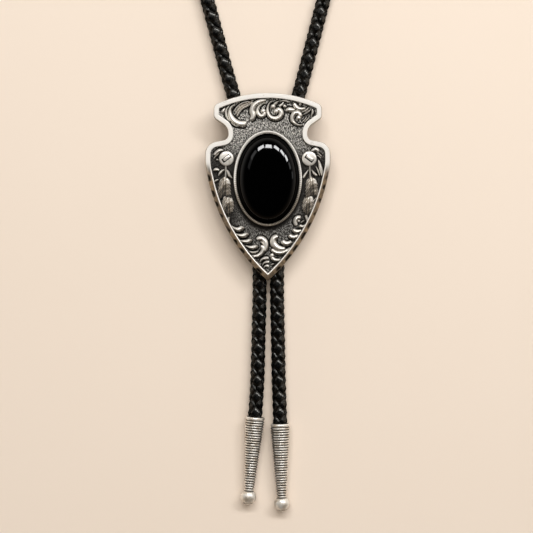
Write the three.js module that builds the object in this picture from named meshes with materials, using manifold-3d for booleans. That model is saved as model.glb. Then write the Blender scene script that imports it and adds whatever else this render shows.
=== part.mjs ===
// A bolo tie lying flat: a cast arrowhead slide with an oval stone, worn on a braided leather cord
// that ends in two ribbed metal tips. Millimetres, +X to the right of the face, +Y up towards the
// neck loop, +Z out of the face. The tie lies on the plane z = 0, and the origin is on the flat
// bottom of the clasp, under the centre of the stone.
import * as THREE from 'three';
import { mergeVertices } from 'three/addons/utils/BufferGeometryUtils.js';
import Module from 'manifold-3d';

const wasm = await Module();
wasm.setup();

// Cord
const cordDiameter = 4.7;
const cordSides = 12;
const cordStep = 12;
const restClear = 0.05;
const seatGap = 0.3;

// Clasp behind the slide
const claspLong = 9;
const claspFloor = 0.6;
const claspSideWall = 1.1;
const claspCorner = 2.2;
const channelSpacing = 8.6;
const channelClear = 0.7;

// Shield plate, measured from the centre of the stone
const shieldWide = 41.5;
const earWide = 35.9;
const notchWide = 26.5;
const crownAbove = 28.45;
const tipBelow = 33.8;
const plateThick = 1.6;
const rimWide = 1.85;
const rimRise = 1.3;
const rimEdge = 0.35;
const crestWide = 0.35;
const bevelDrop = 1.7;
const bevelFade = 5.5;
const knapPitch = 4.45;
const knapDeep = 0.4;
const outlineStep = 1.3;
const arcStep = Math.PI / 10;
const samePoint = 1e-4;

// Stone and its bezel
const stoneWide = 20.6;
const stoneTall = 29.6;
const girdleTall = 1.5;
const domeRise = 3.7;
const bezelWall = 0.6;
const bezelTall = 2.3;

// Relief
const reliefRise = 0.95;
const reliefRoot = 0.3;
const conchoDiameter = 4.8;
const conchoRise = 1.15;
const conchoApart = 27.4;
const conchoUp = 6.65;
const conchoBarLong = 2.7;
const conchoBarWide = 0.95;
const conchoBarRise = 0.4;
const conchoBarTurn = 0.64;

// Cord tips
const tipLong = 27.3;
const tipWall = 0.6;
const boreDeep = 8;
const neckDiameter = 3.1;
const ballDiameter = 5;
const collarLong = 1.1;
const ribPitch = 0.853;
const ribDeep = 0.22;
const tipSides = 12;

// What follows from the sizes above
const cordRadius = cordDiameter / 2;
const onSurface = cordRadius + restClear;
const channelRadius = cordRadius + channelClear;
const inClasp = claspFloor + channelRadius;
const slideBack = inClasp + cordRadius + seatGap;
const shieldTall = crownAbove + tipBelow;
const rimTop = plateThick + rimRise;
const boreRadius = cordRadius + seatGap;
const mouthRadius = boreRadius + tipWall;
const ballRadius = ballDiameter / 2;

const silver = new THREE.MeshStandardMaterial({ color: '#b9b5ad', metalness: 1, roughness: 0.35 });
const onyx = new THREE.MeshStandardMaterial({ color: '#060606', metalness: 0, roughness: 0.05 });
const leather = new THREE.MeshStandardMaterial({ color: '#121110', metalness: 0, roughness: 0.4 });
const steel = new THREE.MeshStandardMaterial({ color: '#8f8d88', metalness: 1, roughness: 0.4 });

// A closed mesh as a solid that can be joined and cut
function toSolid(geometry) {
  const bare = geometry.clone();
  bare.deleteAttribute('normal');
  bare.deleteAttribute('uv');
  const merged = mergeVertices(bare, samePoint);
  const index = merged.index.array;
  const triangles = [];
  for (let i = 0; i < index.length; i += 3) {
    const [a, b, c] = index.subarray(i, i + 3);
    if (a !== b && b !== c && c !== a) {
      triangles.push(a, b, c);
    }
  }
  return new wasm.Manifold(new wasm.Mesh({
    numProp: 3,
    vertProperties: merged.attributes.position.array,
    triVerts: Uint32Array.from(triangles),
  }));
}

function toGeometry(solid) {
  const mesh = solid.getMesh();
  const geometry = new THREE.BufferGeometry();
  geometry.setAttribute('position', new THREE.BufferAttribute(mesh.vertProperties, 3));
  geometry.setIndex(new THREE.BufferAttribute(mesh.triVerts, 1));
  geometry.computeVertexNormals();
  return geometry;
}

// Triangles that close a ring of points: a fan for a convex one, ear cutting for a flat outline
const fan = (ring) => ring.slice(2).map((_, i) => [0, i + 1, i + 2]);
const flat = ({ x, y }) => new THREE.Vector2(x, y);
const earCut = (ring) => THREE.ShapeUtils.triangulateShape(ring.map(flat), []);

// A closed skin through rings with equally many points, closed by a cap at both ends
function skin(rings, cap) {
  const count = rings[0].length;
  const last = (rings.length - 1) * count;
  const index = [];
  for (let start = 0; start < last; start += count) {
    for (let i = 0; i < count; i += 1) {
      const a = start + i;
      const b = start + (i + 1) % count;
      index.push(a, b, b + count, a, b + count, a + count);
    }
  }
  cap(rings[0]).forEach(([a, b, c]) => index.push(c, b, a));
  cap(rings.at(-1)).forEach(([a, b, c]) => index.push(last + a, last + b, last + c));
  const geometry = new THREE.BufferGeometry();
  const numbers = rings.flat().flatMap((p) => [p.x, p.y, p.z]);
  geometry.setAttribute('position', new THREE.Float32BufferAttribute(numbers, 3));
  geometry.setIndex(index);
  return geometry;
}

// The right half of the outline, from the crown to the tip, as corners rounded by a radius
const outlineCorners = [
  { x: 0, y: crownAbove, round: 0 },
  { x: 0.468 * earWide / 2, y: crownAbove, round: 41 },
  { x: earWide / 2, y: 0.858 * crownAbove, round: rimWide + 0.4 },
  { x: earWide / 2, y: 0.706 * crownAbove, round: rimWide + 0.1 },
  { x: notchWide / 2, y: 0.592 * crownAbove, round: 3.5 },
  { x: notchWide / 2, y: 0.46 * crownAbove, round: 1.7 },
  { x: shieldWide / 2, y: 0.41 * crownAbove, round: 4.3 },
  { x: shieldWide / 2, y: 0.148 * crownAbove, round: 15 },
  { x: 0.742 * shieldWide / 2, y: -0.559 * tipBelow, round: 63 },
  { x: 0, y: -tipBelow, round: 0 },
];

// Points along a line of rounded corners, where a corner's round is limited by its two sides
function roundedLine(corners) {
  const at = corners.map(({ x, y }) => new THREE.Vector2(x, y));
  const sides = at.slice(1).map((p, i) => p.clone().sub(at[i]));
  const turn = (i) => {
    const swing = sides[i].angle() - sides[i - 1].angle();
    return Math.atan2(Math.sin(swing), Math.cos(swing));
  };
  const reach = corners.map(({ round }, i) => (round ? round * Math.abs(Math.tan(turn(i) / 2)) : 0));
  const room = sides.map((side, i) => Math.min(1, side.length() / (reach[i] + reach[i + 1] + 1e-9)));
  const points = [at[0]];
  const walk = (target) => {
    const from = points.at(-1).clone();
    const far = from.distanceTo(target);
    const steps = far < samePoint ? 0 : Math.max(1, Math.round(far / outlineStep));
    for (let k = 1; k <= steps; k += 1) {
      points.push(from.clone().lerp(target, k / steps));
    }
  };
  for (let i = 1; i < corners.length - 1; i += 1) {
    const bend = turn(i);
    const cut = reach[i] * Math.min(room[i - 1], room[i]);
    const radius = cut / Math.abs(Math.tan(bend / 2));
    const into = sides[i - 1].clone().normalize();
    walk(at[i].clone().addScaledVector(into, -cut));
    const begin = points.at(-1).clone();
    const towardsHub = new THREE.Vector2(-into.y, into.x).multiplyScalar(Math.sign(bend));
    const hub = begin.clone().addScaledVector(towardsHub, radius);
    const swing = Math.abs(bend);
    const steps = Math.max(Math.ceil(swing / arcStep), Math.round(swing * radius / outlineStep));
    for (let k = 1; k <= steps; k += 1) {
      points.push(begin.clone().rotateAround(hub, bend * k / steps));
    }
  }
  walk(at.at(-1));
  return points;
}

// The whole outline, counter-clockwise from the tip, mirrored about the Y axis. The tip's own point
// stands alone, so that the rim's inner edge keeps a sharp corner there.
function shieldOutline() {
  const tip = new THREE.Vector2(0, -tipBelow);
  const besideTip = 1.5 * rimWide;
  const right = roundedLine(outlineCorners).reverse();
  const kept = right.filter((p, i) => i === 0 || p.distanceTo(tip) > besideTip);
  const left = kept.slice(1, -1).reverse().map(({ x, y }) => new THREE.Vector2(-x, y));
  return kept.concat(left);
}

// The outline moved inwards by a distance of its own at each point
function insetOutline(outline, inset) {
  return outline.map((p, i) => {
    const before = p.clone().sub(outline.at(i - 1)).normalize();
    const after = outline[(i + 1) % outline.length].clone().sub(p).normalize();
    const inward = new THREE.Vector2(-before.y - after.y, before.x + after.x).normalize();
    return p.clone().addScaledVector(inward, inset[i] / Math.abs(inward.x * before.y - inward.y * before.x));
  });
}

// The plate with its raised rim. Below the shoulders the rim's flat top becomes a bevel that falls
// outwards and is knapped along its edge, as a chipped stone point is.
function plate() {
  const outline = shieldOutline();
  const bevel = outline.map(({ y }) => THREE.MathUtils.smoothstep(bevelFade - y, 0, bevelFade));
  const walked = [0];
  outline.slice(1).forEach((p, i) => walked.push(walked[i] + p.distanceTo(outline[i])));
  const around = walked.at(-1);
  const chip = walked.map((s, i) => {
    const fromTip = Math.min(s, around - s);
    return bevel[i] * Math.max(0, Math.sin(2 * Math.PI * fromTip / knapPitch));
  });
  const ring = (inset, height) => insetOutline(outline, inset)
    .map(({ x, y }, i) => new THREE.Vector3(x, y, height[i]));
  const all = (value) => outline.map(() => value);
  const faceInset = bevel.map((b) => THREE.MathUtils.lerp(rimEdge, rimWide - crestWide, b));
  const edgeDrop = bevel.map((b, i) => THREE.MathUtils.lerp(rimEdge, bevelDrop, b) + knapDeep * chip[i] / 2);
  const edgeHeight = edgeDrop.map((drop) => rimTop - drop);
  return toSolid(skin([
    ring(all(0), all(0)),
    ring(chip.map((c) => c * knapDeep), edgeHeight),
    ring(faceInset, all(rimTop)),
    ring(all(rimWide), all(rimTop)),
    ring(all(rimWide), all(plateThick)),
  ], earCut));
}

const ellipse = (wide, tall) => new THREE.Shape().absellipse(0, 0, wide / 2, tall / 2, 0, 2 * Math.PI);

// An upright prism over a flat shape, from one height to another
function prism(shape, low, high, curveSegments = 24) {
  const settings = { depth: high - low, bevelEnabled: false, curveSegments };
  return toSolid(new THREE.ExtrudeGeometry(shape, settings).translate(0, 0, low));
}

// The stone's seat, cut clear above the plate, and the bezel's oval before that cut
function ovalRoundStone(margin, low, high) {
  return prism(ellipse(stoneWide + 2 * margin, stoneTall + 2 * margin), low, high);
}
const seat = () => ovalRoundStone(seatGap, plateThick, plateThick + bezelTall + rimRise);
const bezel = () => ovalRoundStone(seatGap + bezelWall, plateThick - reliefRoot, plateThick + bezelTall);

// How wide a stroke is along its length, from 0 to 1, as a share of its greatest width
const swells = {
  crescent: (t) => 0.3 + 0.7 * Math.sin(Math.PI * t),
  hook: (t) => 0.3 + 0.7 * Math.sin(0.72 * Math.PI * t),
  leaf: (t) => 0.3 + 0.7 * Math.sin(Math.PI * Math.min(1, 0.15 + 0.7 * t)),
  even: () => 1,
};

// The cast strokes. A line's points are shares of half the shield's width and of its height, and
// wide and ball are the stroke's greatest width and the bead on its far end, in millimetres.
const strokes = [
  { name: 'crown drop', swell: 'hook', wide: 1, line: [[-0.682, 0.376], [-0.703, 0.361], [-0.732, 0.346]] },
  { name: 'crown thin crescent', swell: 'crescent', wide: 0.8,
    line: [[-0.592, 0.39], [-0.658, 0.35], [-0.59, 0.303]] },
  { name: 'crown big hook', swell: 'hook', wide: 1.6,
    line: [[-0.522, 0.392], [-0.592, 0.364], [-0.585, 0.327], [-0.515, 0.297], [-0.347, 0.296]] },
  { name: 'crown band upper', swell: 'even', wide: 0.5,
    line: [[-0.289, 0.407], [-0.43, 0.388], [-0.547, 0.346]] },
  { name: 'crown band lower', swell: 'even', wide: 0.45,
    line: [[-0.261, 0.399], [-0.39, 0.376], [-0.504, 0.329]] },
  { name: 'crown S leaf', swell: 'crescent', wide: 1.5,
    line: [[-0.024, 0.412], [-0.148, 0.407], [-0.217, 0.375], [-0.242, 0.332], [-0.301, 0.314]] },
  { name: 'crown small curl', swell: 'hook', wide: 0.95, ball: 1.7,
    line: [[0.016, 0.403], [-0.102, 0.39], [-0.159, 0.358], [-0.12, 0.33], [-0.06, 0.342]] },
  { name: 'crown great curl', swell: 'hook', wide: 1, ball: 1.7,
    line: [[0.083, 0.413], [0.01, 0.387], [0, 0.35], [0.045, 0.323], [0.13, 0.315], [0.215, 0.34],
      [0.14, 0.362]] },
  { name: 'crown leaflet one', swell: 'hook', wide: 0.7,
    line: [[0.172, 0.41], [0.121, 0.398], [0.083, 0.381]] },
  { name: 'crown leaflet two', swell: 'hook', wide: 0.6,
    line: [[0.245, 0.408], [0.181, 0.397], [0.14, 0.38]] },
  { name: 'crown leaflet three', swell: 'hook', wide: 0.6,
    line: [[0.305, 0.402], [0.248, 0.387], [0.204, 0.376]] },
  { name: 'crown blob', swell: 'leaf', wide: 1.2, line: [[0.251, 0.355], [0.321, 0.367], [0.407, 0.372]] },
  { name: 'crown right curl', swell: 'crescent', wide: 0.95,
    line: [[0.417, 0.401], [0.45, 0.376], [0.566, 0.393]] },
  { name: 'crown right hook', swell: 'crescent', wide: 1,
    line: [[0.49, 0.352], [0.401, 0.345], [0.382, 0.319], [0.42, 0.295], [0.568, 0.288]] },
  { name: 'crown right bead', swell: 'leaf', wide: 1.8, line: [[0.45, 0.356], [0.5, 0.35], [0.53, 0.342]] },
  { name: 'crown blade', swell: 'crescent', wide: 0.6,
    line: [[0.676, 0.382], [0.608, 0.361], [0.52, 0.349]] },
  { name: 'crown edge blade', swell: 'crescent', wide: 0.55,
    line: [[0.712, 0.369], [0.7, 0.348], [0.671, 0.327]] },
  { name: 'left crest', swell: 'crescent', wide: 1,
    line: [[-0.701, 0.149], [-0.798, 0.146], [-0.872, 0.123]] },
  { name: 'left sprig', swell: 'leaf', wide: 0.8,
    line: [[-0.865, 0.043], [-0.817, 0.051], [-0.77, 0.045]] },
  { name: 'right crest', swell: 'crescent', wide: 1,
    line: [[0.703, 0.148], [0.792, 0.147], [0.862, 0.127]] },
  { name: 'right long blade', swell: 'crescent', wide: 0.8,
    line: [[0.808, 0.109], [0.852, 0.067], [0.862, 0.014]] },
  { name: 'left upper feather', swell: 'leaf', wide: 4.6,
    line: [[-0.671, 0.053], [-0.677, -0.018], [-0.69, -0.087]] },
  { name: 'left lower feather', swell: 'leaf', wide: 4,
    line: [[-0.649, -0.082], [-0.639, -0.14], [-0.627, -0.193]] },
  { name: 'left quill', swell: 'even', wide: 0.8,
    line: [[-0.617, -0.185], [-0.62, -0.219], [-0.631, -0.25]] },
  { name: 'right upper feather', swell: 'leaf', wide: 4.4,
    line: [[0.665, 0.058], [0.674, -0.013], [0.687, -0.082]] },
  { name: 'right lower feather', swell: 'leaf', wide: 4,
    line: [[0.655, -0.076], [0.643, -0.135], [0.633, -0.193]] },
  { name: 'right quill', swell: 'even', wide: 0.8,
    line: [[0.633, -0.182], [0.643, -0.209], [0.655, -0.234]] },
  { name: 'left fern one', swell: 'crescent', wide: 1.4,
    line: [[-0.588, -0.247], [-0.503, -0.266], [-0.407, -0.248]] },
  { name: 'left fern two', swell: 'crescent', wide: 1.2,
    line: [[-0.534, -0.288], [-0.433, -0.302], [-0.34, -0.283]] },
  { name: 'left fern three', swell: 'crescent', wide: 1.1,
    line: [[-0.442, -0.328], [-0.34, -0.333], [-0.267, -0.316]] },
  { name: 'left fern four', swell: 'crescent', wide: 1,
    line: [[-0.353, -0.359], [-0.248, -0.369], [-0.162, -0.348]] },
  { name: 'left fern five', swell: 'crescent', wide: 0.7,
    line: [[-0.299, -0.389], [-0.21, -0.398], [-0.127, -0.384]] },
  { name: 'left great curl', swell: 'crescent', wide: 1.7,
    line: [[-0.165, -0.324], [-0.092, -0.313], [-0.025, -0.341], [-0.04, -0.385], [-0.108, -0.405],
      [-0.245, -0.412]] },
  { name: 'left inner curl', swell: 'leaf', wide: 0.9,
    line: [[-0.13, -0.358], [-0.076, -0.372], [-0.102, -0.392]] },
  { name: 'right great leaf', swell: 'hook', wide: 1.6,
    line: [[0.274, -0.371], [0.137, -0.365], [0.076, -0.347], [0.086, -0.321], [0.169, -0.309]] },
  { name: 'right under leaf', swell: 'crescent', wide: 1.1,
    line: [[0.06, -0.376], [0.14, -0.392], [0.27, -0.391], [0.382, -0.369]] },
  { name: 'right sprig', swell: 'crescent', wide: 0.9,
    line: [[0.067, -0.405], [0.115, -0.428], [0.204, -0.428]] },
  { name: 'right fern one', swell: 'crescent', wide: 1.4,
    line: [[0.207, -0.323], [0.289, -0.338], [0.383, -0.329]] },
  { name: 'right fern two', swell: 'crescent', wide: 1.3,
    line: [[0.321, -0.292], [0.404, -0.304], [0.49, -0.296]] },
  { name: 'right fern three', swell: 'crescent', wide: 1.2,
    line: [[0.388, -0.26], [0.458, -0.274], [0.57, -0.265]] },
  { name: 'right ball curl', swell: 'crescent', wide: 1.3,
    line: [[0.5, -0.204], [0.426, -0.222], [0.474, -0.248], [0.601, -0.244]] },
  { name: 'tip arc outer', swell: 'crescent', wide: 0.8,
    line: [[-0.134, -0.453], [-0.08, -0.428], [0.019, -0.425]] },
  { name: 'tip arc middle', swell: 'crescent', wide: 0.7,
    line: [[-0.094, -0.465], [-0.041, -0.445], [0.041, -0.443]] },
  { name: 'tip arc inner', swell: 'crescent', wide: 0.7,
    line: [[-0.06, -0.477], [-0.029, -0.464], [0.022, -0.467]] },
];

function strokeSolids({ line, wide, swell, ball = 0 }) {
  const points = line.map(([x, y]) => new THREE.Vector3(x * shieldWide / 2, y * shieldTall, 0));
  const curve = new THREE.CatmullRomCurve3(points, false, 'centripetal');
  const stations = 2 * line.length - 1;
  const rings = [];
  for (let i = 0; i <= stations; i += 1) {
    const share = swells[swell](i / stations);
    const middle = curve.getPointAt(i / stations);
    const along = curve.getTangentAt(i / stations);
    const right = new THREE.Vector3(along.y, -along.x, 0).multiplyScalar(share * wide / 2);
    const corner = (across, height) => middle.clone().addScaledVector(right, across).setZ(height);
    const top = plateThick + reliefRise * (0.5 + 0.5 * share);
    const foot = plateThick - reliefRoot;
    rings.push([corner(-0.55, top), corner(0.55, top), corner(1, foot), corner(-1, foot)]);
  }
  const solids = [toSolid(skin(rings, fan))];
  if (ball) {
    const bead = new THREE.CylinderGeometry(0.3 * ball, 0.5 * ball, reliefRise + reliefRoot, 10);
    const { x, y } = points.at(-1);
    bead.rotateX(Math.PI / 2).translate(x, y, plateThick + (reliefRise - reliefRoot) / 2);
    solids.push(toSolid(bead));
  }
  return solids;
}

// A small round concho with a raised bar across it, one on each side of the stone
function concho(side) {
  const radius = conchoDiameter / 2;
  const disc = new THREE.CylinderGeometry(0.84 * radius, radius, conchoRise + reliefRoot, 20);
  const bar = new THREE.BoxGeometry(conchoBarLong, conchoBarWide, 2 * conchoBarRise);
  const place = [side * conchoApart / 2, conchoUp];
  disc.rotateX(Math.PI / 2).translate(...place, plateThick + (conchoRise - reliefRoot) / 2);
  bar.rotateZ(-side * conchoBarTurn).translate(...place, plateThick + conchoRise);
  return toSolid(disc).add(toSolid(bar));
}

function slideGeometry() {
  const raised = strokes.flatMap(strokeSolids).concat(concho(-1), concho(1), bezel());
  const joined = raised.reduce((whole, piece) => whole.add(piece), plate());
  return toGeometry(joined.subtract(seat()));
}

// The cabochon: a short straight girdle under a high dome
function stoneGeometry() {
  const rows = 8;
  const profile = [new THREE.Vector2(0, 0), new THREE.Vector2(0.97, 0), new THREE.Vector2(1, 0.3)];
  for (let i = 0; i <= rows; i += 1) {
    const lift = i / rows * Math.PI / 2;
    profile.push(new THREE.Vector2(Math.cos(lift) ** 0.85, girdleTall + domeRise * Math.sin(lift)));
  }
  profile.at(-1).x = 0;
  const dome = new THREE.LatheGeometry(profile, 40);
  dome.rotateX(Math.PI / 2).scale(stoneWide / 2, stoneTall / 2, 1);
  return toGeometry(toSolid(dome));
}

// The clasp: a block whose two channels, open towards the slide, hold the cord's two runs
function claspGeometry() {
  const halfWide = channelSpacing / 2 + channelRadius + claspSideWall;
  const top = slideBack - seatGap;
  const section = new THREE.Shape();
  section.moveTo(-halfWide, 0).lineTo(halfWide, 0).lineTo(halfWide, top);
  [channelSpacing / 2, -channelSpacing / 2].forEach((middle) => {
    section.lineTo(middle + channelRadius, top).lineTo(middle + channelRadius, inClasp);
    section.absarc(middle, inClasp, channelRadius, 0, Math.PI, true);
    section.lineTo(middle - channelRadius, top);
  });
  section.lineTo(-halfWide, top).closePath();
  const settings = { depth: claspLong, bevelEnabled: false, curveSegments: 8 };
  const long = new THREE.ExtrudeGeometry(section, settings);
  long.rotateX(Math.PI / 2).translate(0, claspLong / 2, 0);
  const halfLong = claspLong / 2;
  const plan = new THREE.Shape();
  plan.moveTo(claspCorner - halfWide, -halfLong).lineTo(halfWide - claspCorner, -halfLong);
  plan.absarc(halfWide - claspCorner, claspCorner - halfLong, claspCorner, -Math.PI / 2, 0, false);
  plan.absarc(halfWide - claspCorner, halfLong - claspCorner, claspCorner, 0, Math.PI / 2, false);
  plan.absarc(claspCorner - halfWide, halfLong - claspCorner, claspCorner, Math.PI / 2, Math.PI, false);
  plan.absarc(claspCorner - halfWide, claspCorner - halfLong, claspCorner, Math.PI, 1.5 * Math.PI, false);
  return toGeometry(toSolid(long).intersect(prism(plan, -seatGap, top + seatGap, 4)));
}

// A cord tip as a turned profile along -Y: a bore that takes the cord, a plain collar, ribs down
// the taper and a ball on the end
function tipGeometry() {
  const neckRadius = neckDiameter / 2;
  const neckLean = Math.asin(neckRadius / ballRadius);
  const ribbedLong = tipLong - ballRadius * Math.cos(neckLean) - collarLong;
  const ribs = Math.round(ribbedLong / ribPitch);
  const profile = [
    new THREE.Vector2(0, -boreDeep),
    new THREE.Vector2(boreRadius, -boreDeep),
    new THREE.Vector2(boreRadius, 0),
    new THREE.Vector2(mouthRadius - 0.1, 0),
    new THREE.Vector2(mouthRadius, -0.15),
    new THREE.Vector2(mouthRadius, -collarLong),
  ];
  for (let i = 0; i < ribs; i += 1) {
    const radius = THREE.MathUtils.lerp(mouthRadius, neckRadius, (i + 0.5) / ribs);
    const start = collarLong + i * ribbedLong / ribs;
    profile.push(new THREE.Vector2(radius - ribDeep, -start - 0.25 * ribPitch));
    profile.push(new THREE.Vector2(radius, -start - 0.65 * ribPitch));
  }
  const ballRows = 6;
  for (let i = 0; i <= ballRows; i += 1) {
    const lean = THREE.MathUtils.lerp(neckLean, Math.PI, i / ballRows);
    profile.push(new THREE.Vector2(ballRadius * Math.sin(lean), ballRadius * Math.cos(lean) - tipLong));
  }
  profile.at(-1).x = 0;
  return toGeometry(toSolid(new THREE.LatheGeometry(profile.reverse(), tipSides)));
}

// Where the two tips lie, from the middle of the mouth to the middle of the ball
const tips = {
  left: { mouth: new THREE.Vector3(-4.25, -79.1, mouthRadius + restClear), heading: [-0.0817, -0.9967] },
  right: { mouth: new THREE.Vector3(4.13, -81.3, mouthRadius + restClear), heading: [0.0228, -0.9997] },
};

// A tip's direction: its mouth and its ball both touch the surface it lies on
function tipAxis({ heading }) {
  const fall = (ballRadius - mouthRadius) / tipLong;
  const level = Math.sqrt(1 - fall * fall);
  return new THREE.Vector3(heading[0] * level, heading[1] * level, fall).normalize();
}

// The cord's chosen points, as x, y and the height of its middle
const neckRoute = [
  [-4.3, seatGap / 2, inClasp], [-4.35, 5.5, inClasp], [-5.1, 10.5, inClasp - 0.4],
  [-6.75, 16, onSurface + 0.35], [-8.9, 21.5, onSurface], [-11.4, 28.1, onSurface],
  [-20.2, 60, onSurface], [-34, 110, onSurface], [-47.7, 160, onSurface], [-60.1, 205, onSurface],
  [-69.6, 239.1, onSurface], [-71.7, 265, onSurface], [-64.5, 289.5, onSurface],
  [-48.9, 309.7, onSurface], [-27.2, 323.1, onSurface], [-2.1, 327.7, onSurface],
  [23, 323.1, onSurface], [44.7, 309.7, onSurface], [60.3, 289.5, onSurface],
  [67.5, 265, onSurface], [65.6, 240, onSurface], [56.5, 205, onSurface], [44.7, 160, onSurface],
  [31.6, 110, onSurface], [18.6, 60, onSurface], [10.4, 28.6, onSurface],
  [8.3, 21.8, onSurface], [6.5, 16, onSurface + 0.35], [5.05, 10.5, inClasp - 0.4],
  [4.35, 5.5, inClasp], [4.3, seatGap / 2, inClasp],
];
const tailRoutes = {
  left: [
    [-4.3, -seatGap / 2, inClasp], [-4.3, -5.5, inClasp], [-3.95, -12, inClasp - 0.6],
    [-3.3, -20, onSurface + 0.2], [-2.75, -30, onSurface], [-2.75, -39.5, onSurface],
    [-3.1, -52.9, onSurface], [-3.45, -66.2, onSurface + 0.1], [-3.85, -73.5, mouthRadius - 0.3],
  ],
  right: [
    [4.3, -seatGap / 2, inClasp], [4.3, -5.5, inClasp], [4.05, -12, inClasp - 0.6],
    [3.55, -20, onSurface + 0.2], [3.15, -30, onSurface], [3.1, -39.5, onSurface],
    [3.4, -52.9, onSurface], [3.65, -66.2, onSurface], [3.95, -75, mouthRadius - 0.3],
  ],
};

const toPoints = (route) => route.map((place) => new THREE.Vector3(...place));

// A tail runs on into its tip, and stops short of the bore's floor
function tailPoints(side) {
  const { mouth } = tips[side];
  const end = mouth.clone().addScaledVector(tipAxis(tips[side]), boreDeep - seatGap);
  return [...toPoints(tailRoutes[side]), mouth, end];
}

function cordGeometry(points) {
  const curve = new THREE.CatmullRomCurve3(points, false, 'centripetal');
  const section = new THREE.Shape();
  for (let i = 0; i < cordSides; i += 1) {
    const turn = 2 * Math.PI * (i + 0.5) / cordSides;
    section[i ? 'lineTo' : 'moveTo'](cordRadius * Math.cos(turn), cordRadius * Math.sin(turn));
  }
  section.closePath();
  const steps = Math.round(curve.getLength() / cordStep);
  const geometry = new THREE.ExtrudeGeometry(section, { steps, bevelEnabled: false, extrudePath: curve });
  return toGeometry(toSolid(geometry));
}

function namedMesh(name, geometry, material) {
  const mesh = new THREE.Mesh(geometry, material);
  mesh.name = name;
  return mesh;
}

// The slide and its stone share a group at the height of the slide's back
const front = new THREE.Group();
front.position.z = slideBack;
const stone = namedMesh('stone', stoneGeometry(), onyx);
stone.position.z = plateThick + seatGap;
front.add(namedMesh('slide', slideGeometry(), silver), stone);

const boloTie = new THREE.Group();
boloTie.add(front, namedMesh('back_clasp', claspGeometry(), steel));
boloTie.add(namedMesh('neck_cord', cordGeometry(toPoints(neckRoute)), leather));
Object.keys(tips).forEach((side) => {
  const tip = namedMesh(`${side}_tip`, tipGeometry(), silver);
  tip.position.copy(tips[side].mouth);
  tip.quaternion.setFromUnitVectors(new THREE.Vector3(0, -1, 0), tipAxis(tips[side]));
  boloTie.add(tip, namedMesh(`${side}_tail`, cordGeometry(tailPoints(side)), leather));
});

export default boloTie;
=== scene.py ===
# A bolo tie lying flat on pale paper: a cast arrowhead slide with an oval black stone, a braided
# leather cord and two ribbed metal tips. The tables are in millimetres in the part's own frame,
# +X right of the face, +Y towards the neck loop, +Z out of the face.
import math

import bmesh
import bpy
import numpy as np
from mathutils import Matrix, Vector


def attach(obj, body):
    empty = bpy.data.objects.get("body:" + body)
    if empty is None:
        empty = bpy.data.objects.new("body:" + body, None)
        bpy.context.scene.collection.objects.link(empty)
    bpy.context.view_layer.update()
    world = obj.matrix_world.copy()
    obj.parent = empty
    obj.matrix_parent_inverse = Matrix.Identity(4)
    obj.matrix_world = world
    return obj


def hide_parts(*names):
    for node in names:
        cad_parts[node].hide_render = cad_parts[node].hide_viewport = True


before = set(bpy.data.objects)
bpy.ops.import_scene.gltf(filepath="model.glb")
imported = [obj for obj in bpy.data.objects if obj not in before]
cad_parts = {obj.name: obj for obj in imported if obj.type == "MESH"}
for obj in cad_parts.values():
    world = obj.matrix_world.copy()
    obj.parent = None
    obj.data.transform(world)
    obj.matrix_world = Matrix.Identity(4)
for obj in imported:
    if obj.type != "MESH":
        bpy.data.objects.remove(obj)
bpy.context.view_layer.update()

MM = 0.001

# Camera straight above, and how much of the floor it takes in
CAMERA_AT = (-0.43, -29.0, 550.0)
SEEN_WIDE = 178.8
SENSOR_WIDE = 36.0

# Cord
ON_SURFACE = 2.4
IN_CLASP = 3.65
TIP_MOUTH = 3.25
SEAT_GAP = 0.3
ROUTE_FINE = 40

# Braid of six laces, three each way
TURN_LONG = 16.1
LACES_EACH_WAY = 3
LACE_WIDE = 3.15
LACE_THICK = 0.95
LACE_MIDDLE = 1.5
LACE_WAVE = 0.46
WAVE_CLIP = 1.2
STEPS_A_CROSSING = 6
LACE_PHASE = math.radians(30)

# One lace across: shares of its half width and of its half thickness
LACE_SECTION = np.array((
    (-1, -0.3), (-0.95, 0.2), (-0.78, 0.72), (-0.5, 1), (0.5, 1), (0.78, 0.72), (0.95, 0.2), (1, -0.3),
    (0, -1),
))

# Slide
BACK = 6.3
FIELD = 7.9
RIM_TOP = 9.2
RIM_WIDE = 1.85
CROWN_ABOVE = 28.45
TIP_BELOW = 33.8
EAR_HALF = 17.95
NOTCH_HALF = 13.25
SHIELD_HALF = 20.75
BEVEL_FADE = 5.5
OUTLINE_STEP = 0.45
ARC_STEP = math.radians(9)

# The flakes of the bevel, and the two sways that make them uneven: swing, and turn a millimetre
KNAP_PITCH = 4.45
KNAP_DEEP = 0.55
KNAP_INWARD = 0.8
KNAP_SHARE = 0.15
KNAP_ROUND = 0.6
SLOW_SWAY = (0.7, 0.83)
FAST_SWAY = (0.5, 2.1)

# Patina and painted shade on the slide: how deep it gets dark, the rim's side walls painted darker as
# shade, and the brown shade painted on the sides that turn away from the light
RECESS_DEEP = 0.45
SIDE_WALL_SHADE = 0.8
LOW_SIDE_SHADE_BROWN = 0.62
LOW_SIDE_TOWARDS = (0.3, -0.9)
LOW_SIDE_LEAN = (0.08, 0.42)

# Stone and bezel, as half widths and half heights
STONE_HALF = (10.3, 14.8)
STONE_FOOT = 8.2
GIRDLE_TOP = 9.75
STONE_TOP = 13.4
BEZEL_TOP = 10.2
BEAD_PITCH = 0.55

# Tips
TIP_LONG = 26.9
BORE_DEEP = 8.0
BORE_RADIUS = 2.65
NECK_RADIUS = 1.55
BALL_RADIUS = 2.6
COLLAR_LONG = 1.1
COLLAR_ROUND = 0.24
COLLAR_START = 0.02
COLLAR_SHORT = 0.06
COLLAR_STEPS = 8
RIB_PITCH = 0.853
RIB_DEEP = 0.33
BALL_STEPS = 18
TIP_STEPS = 72
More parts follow.
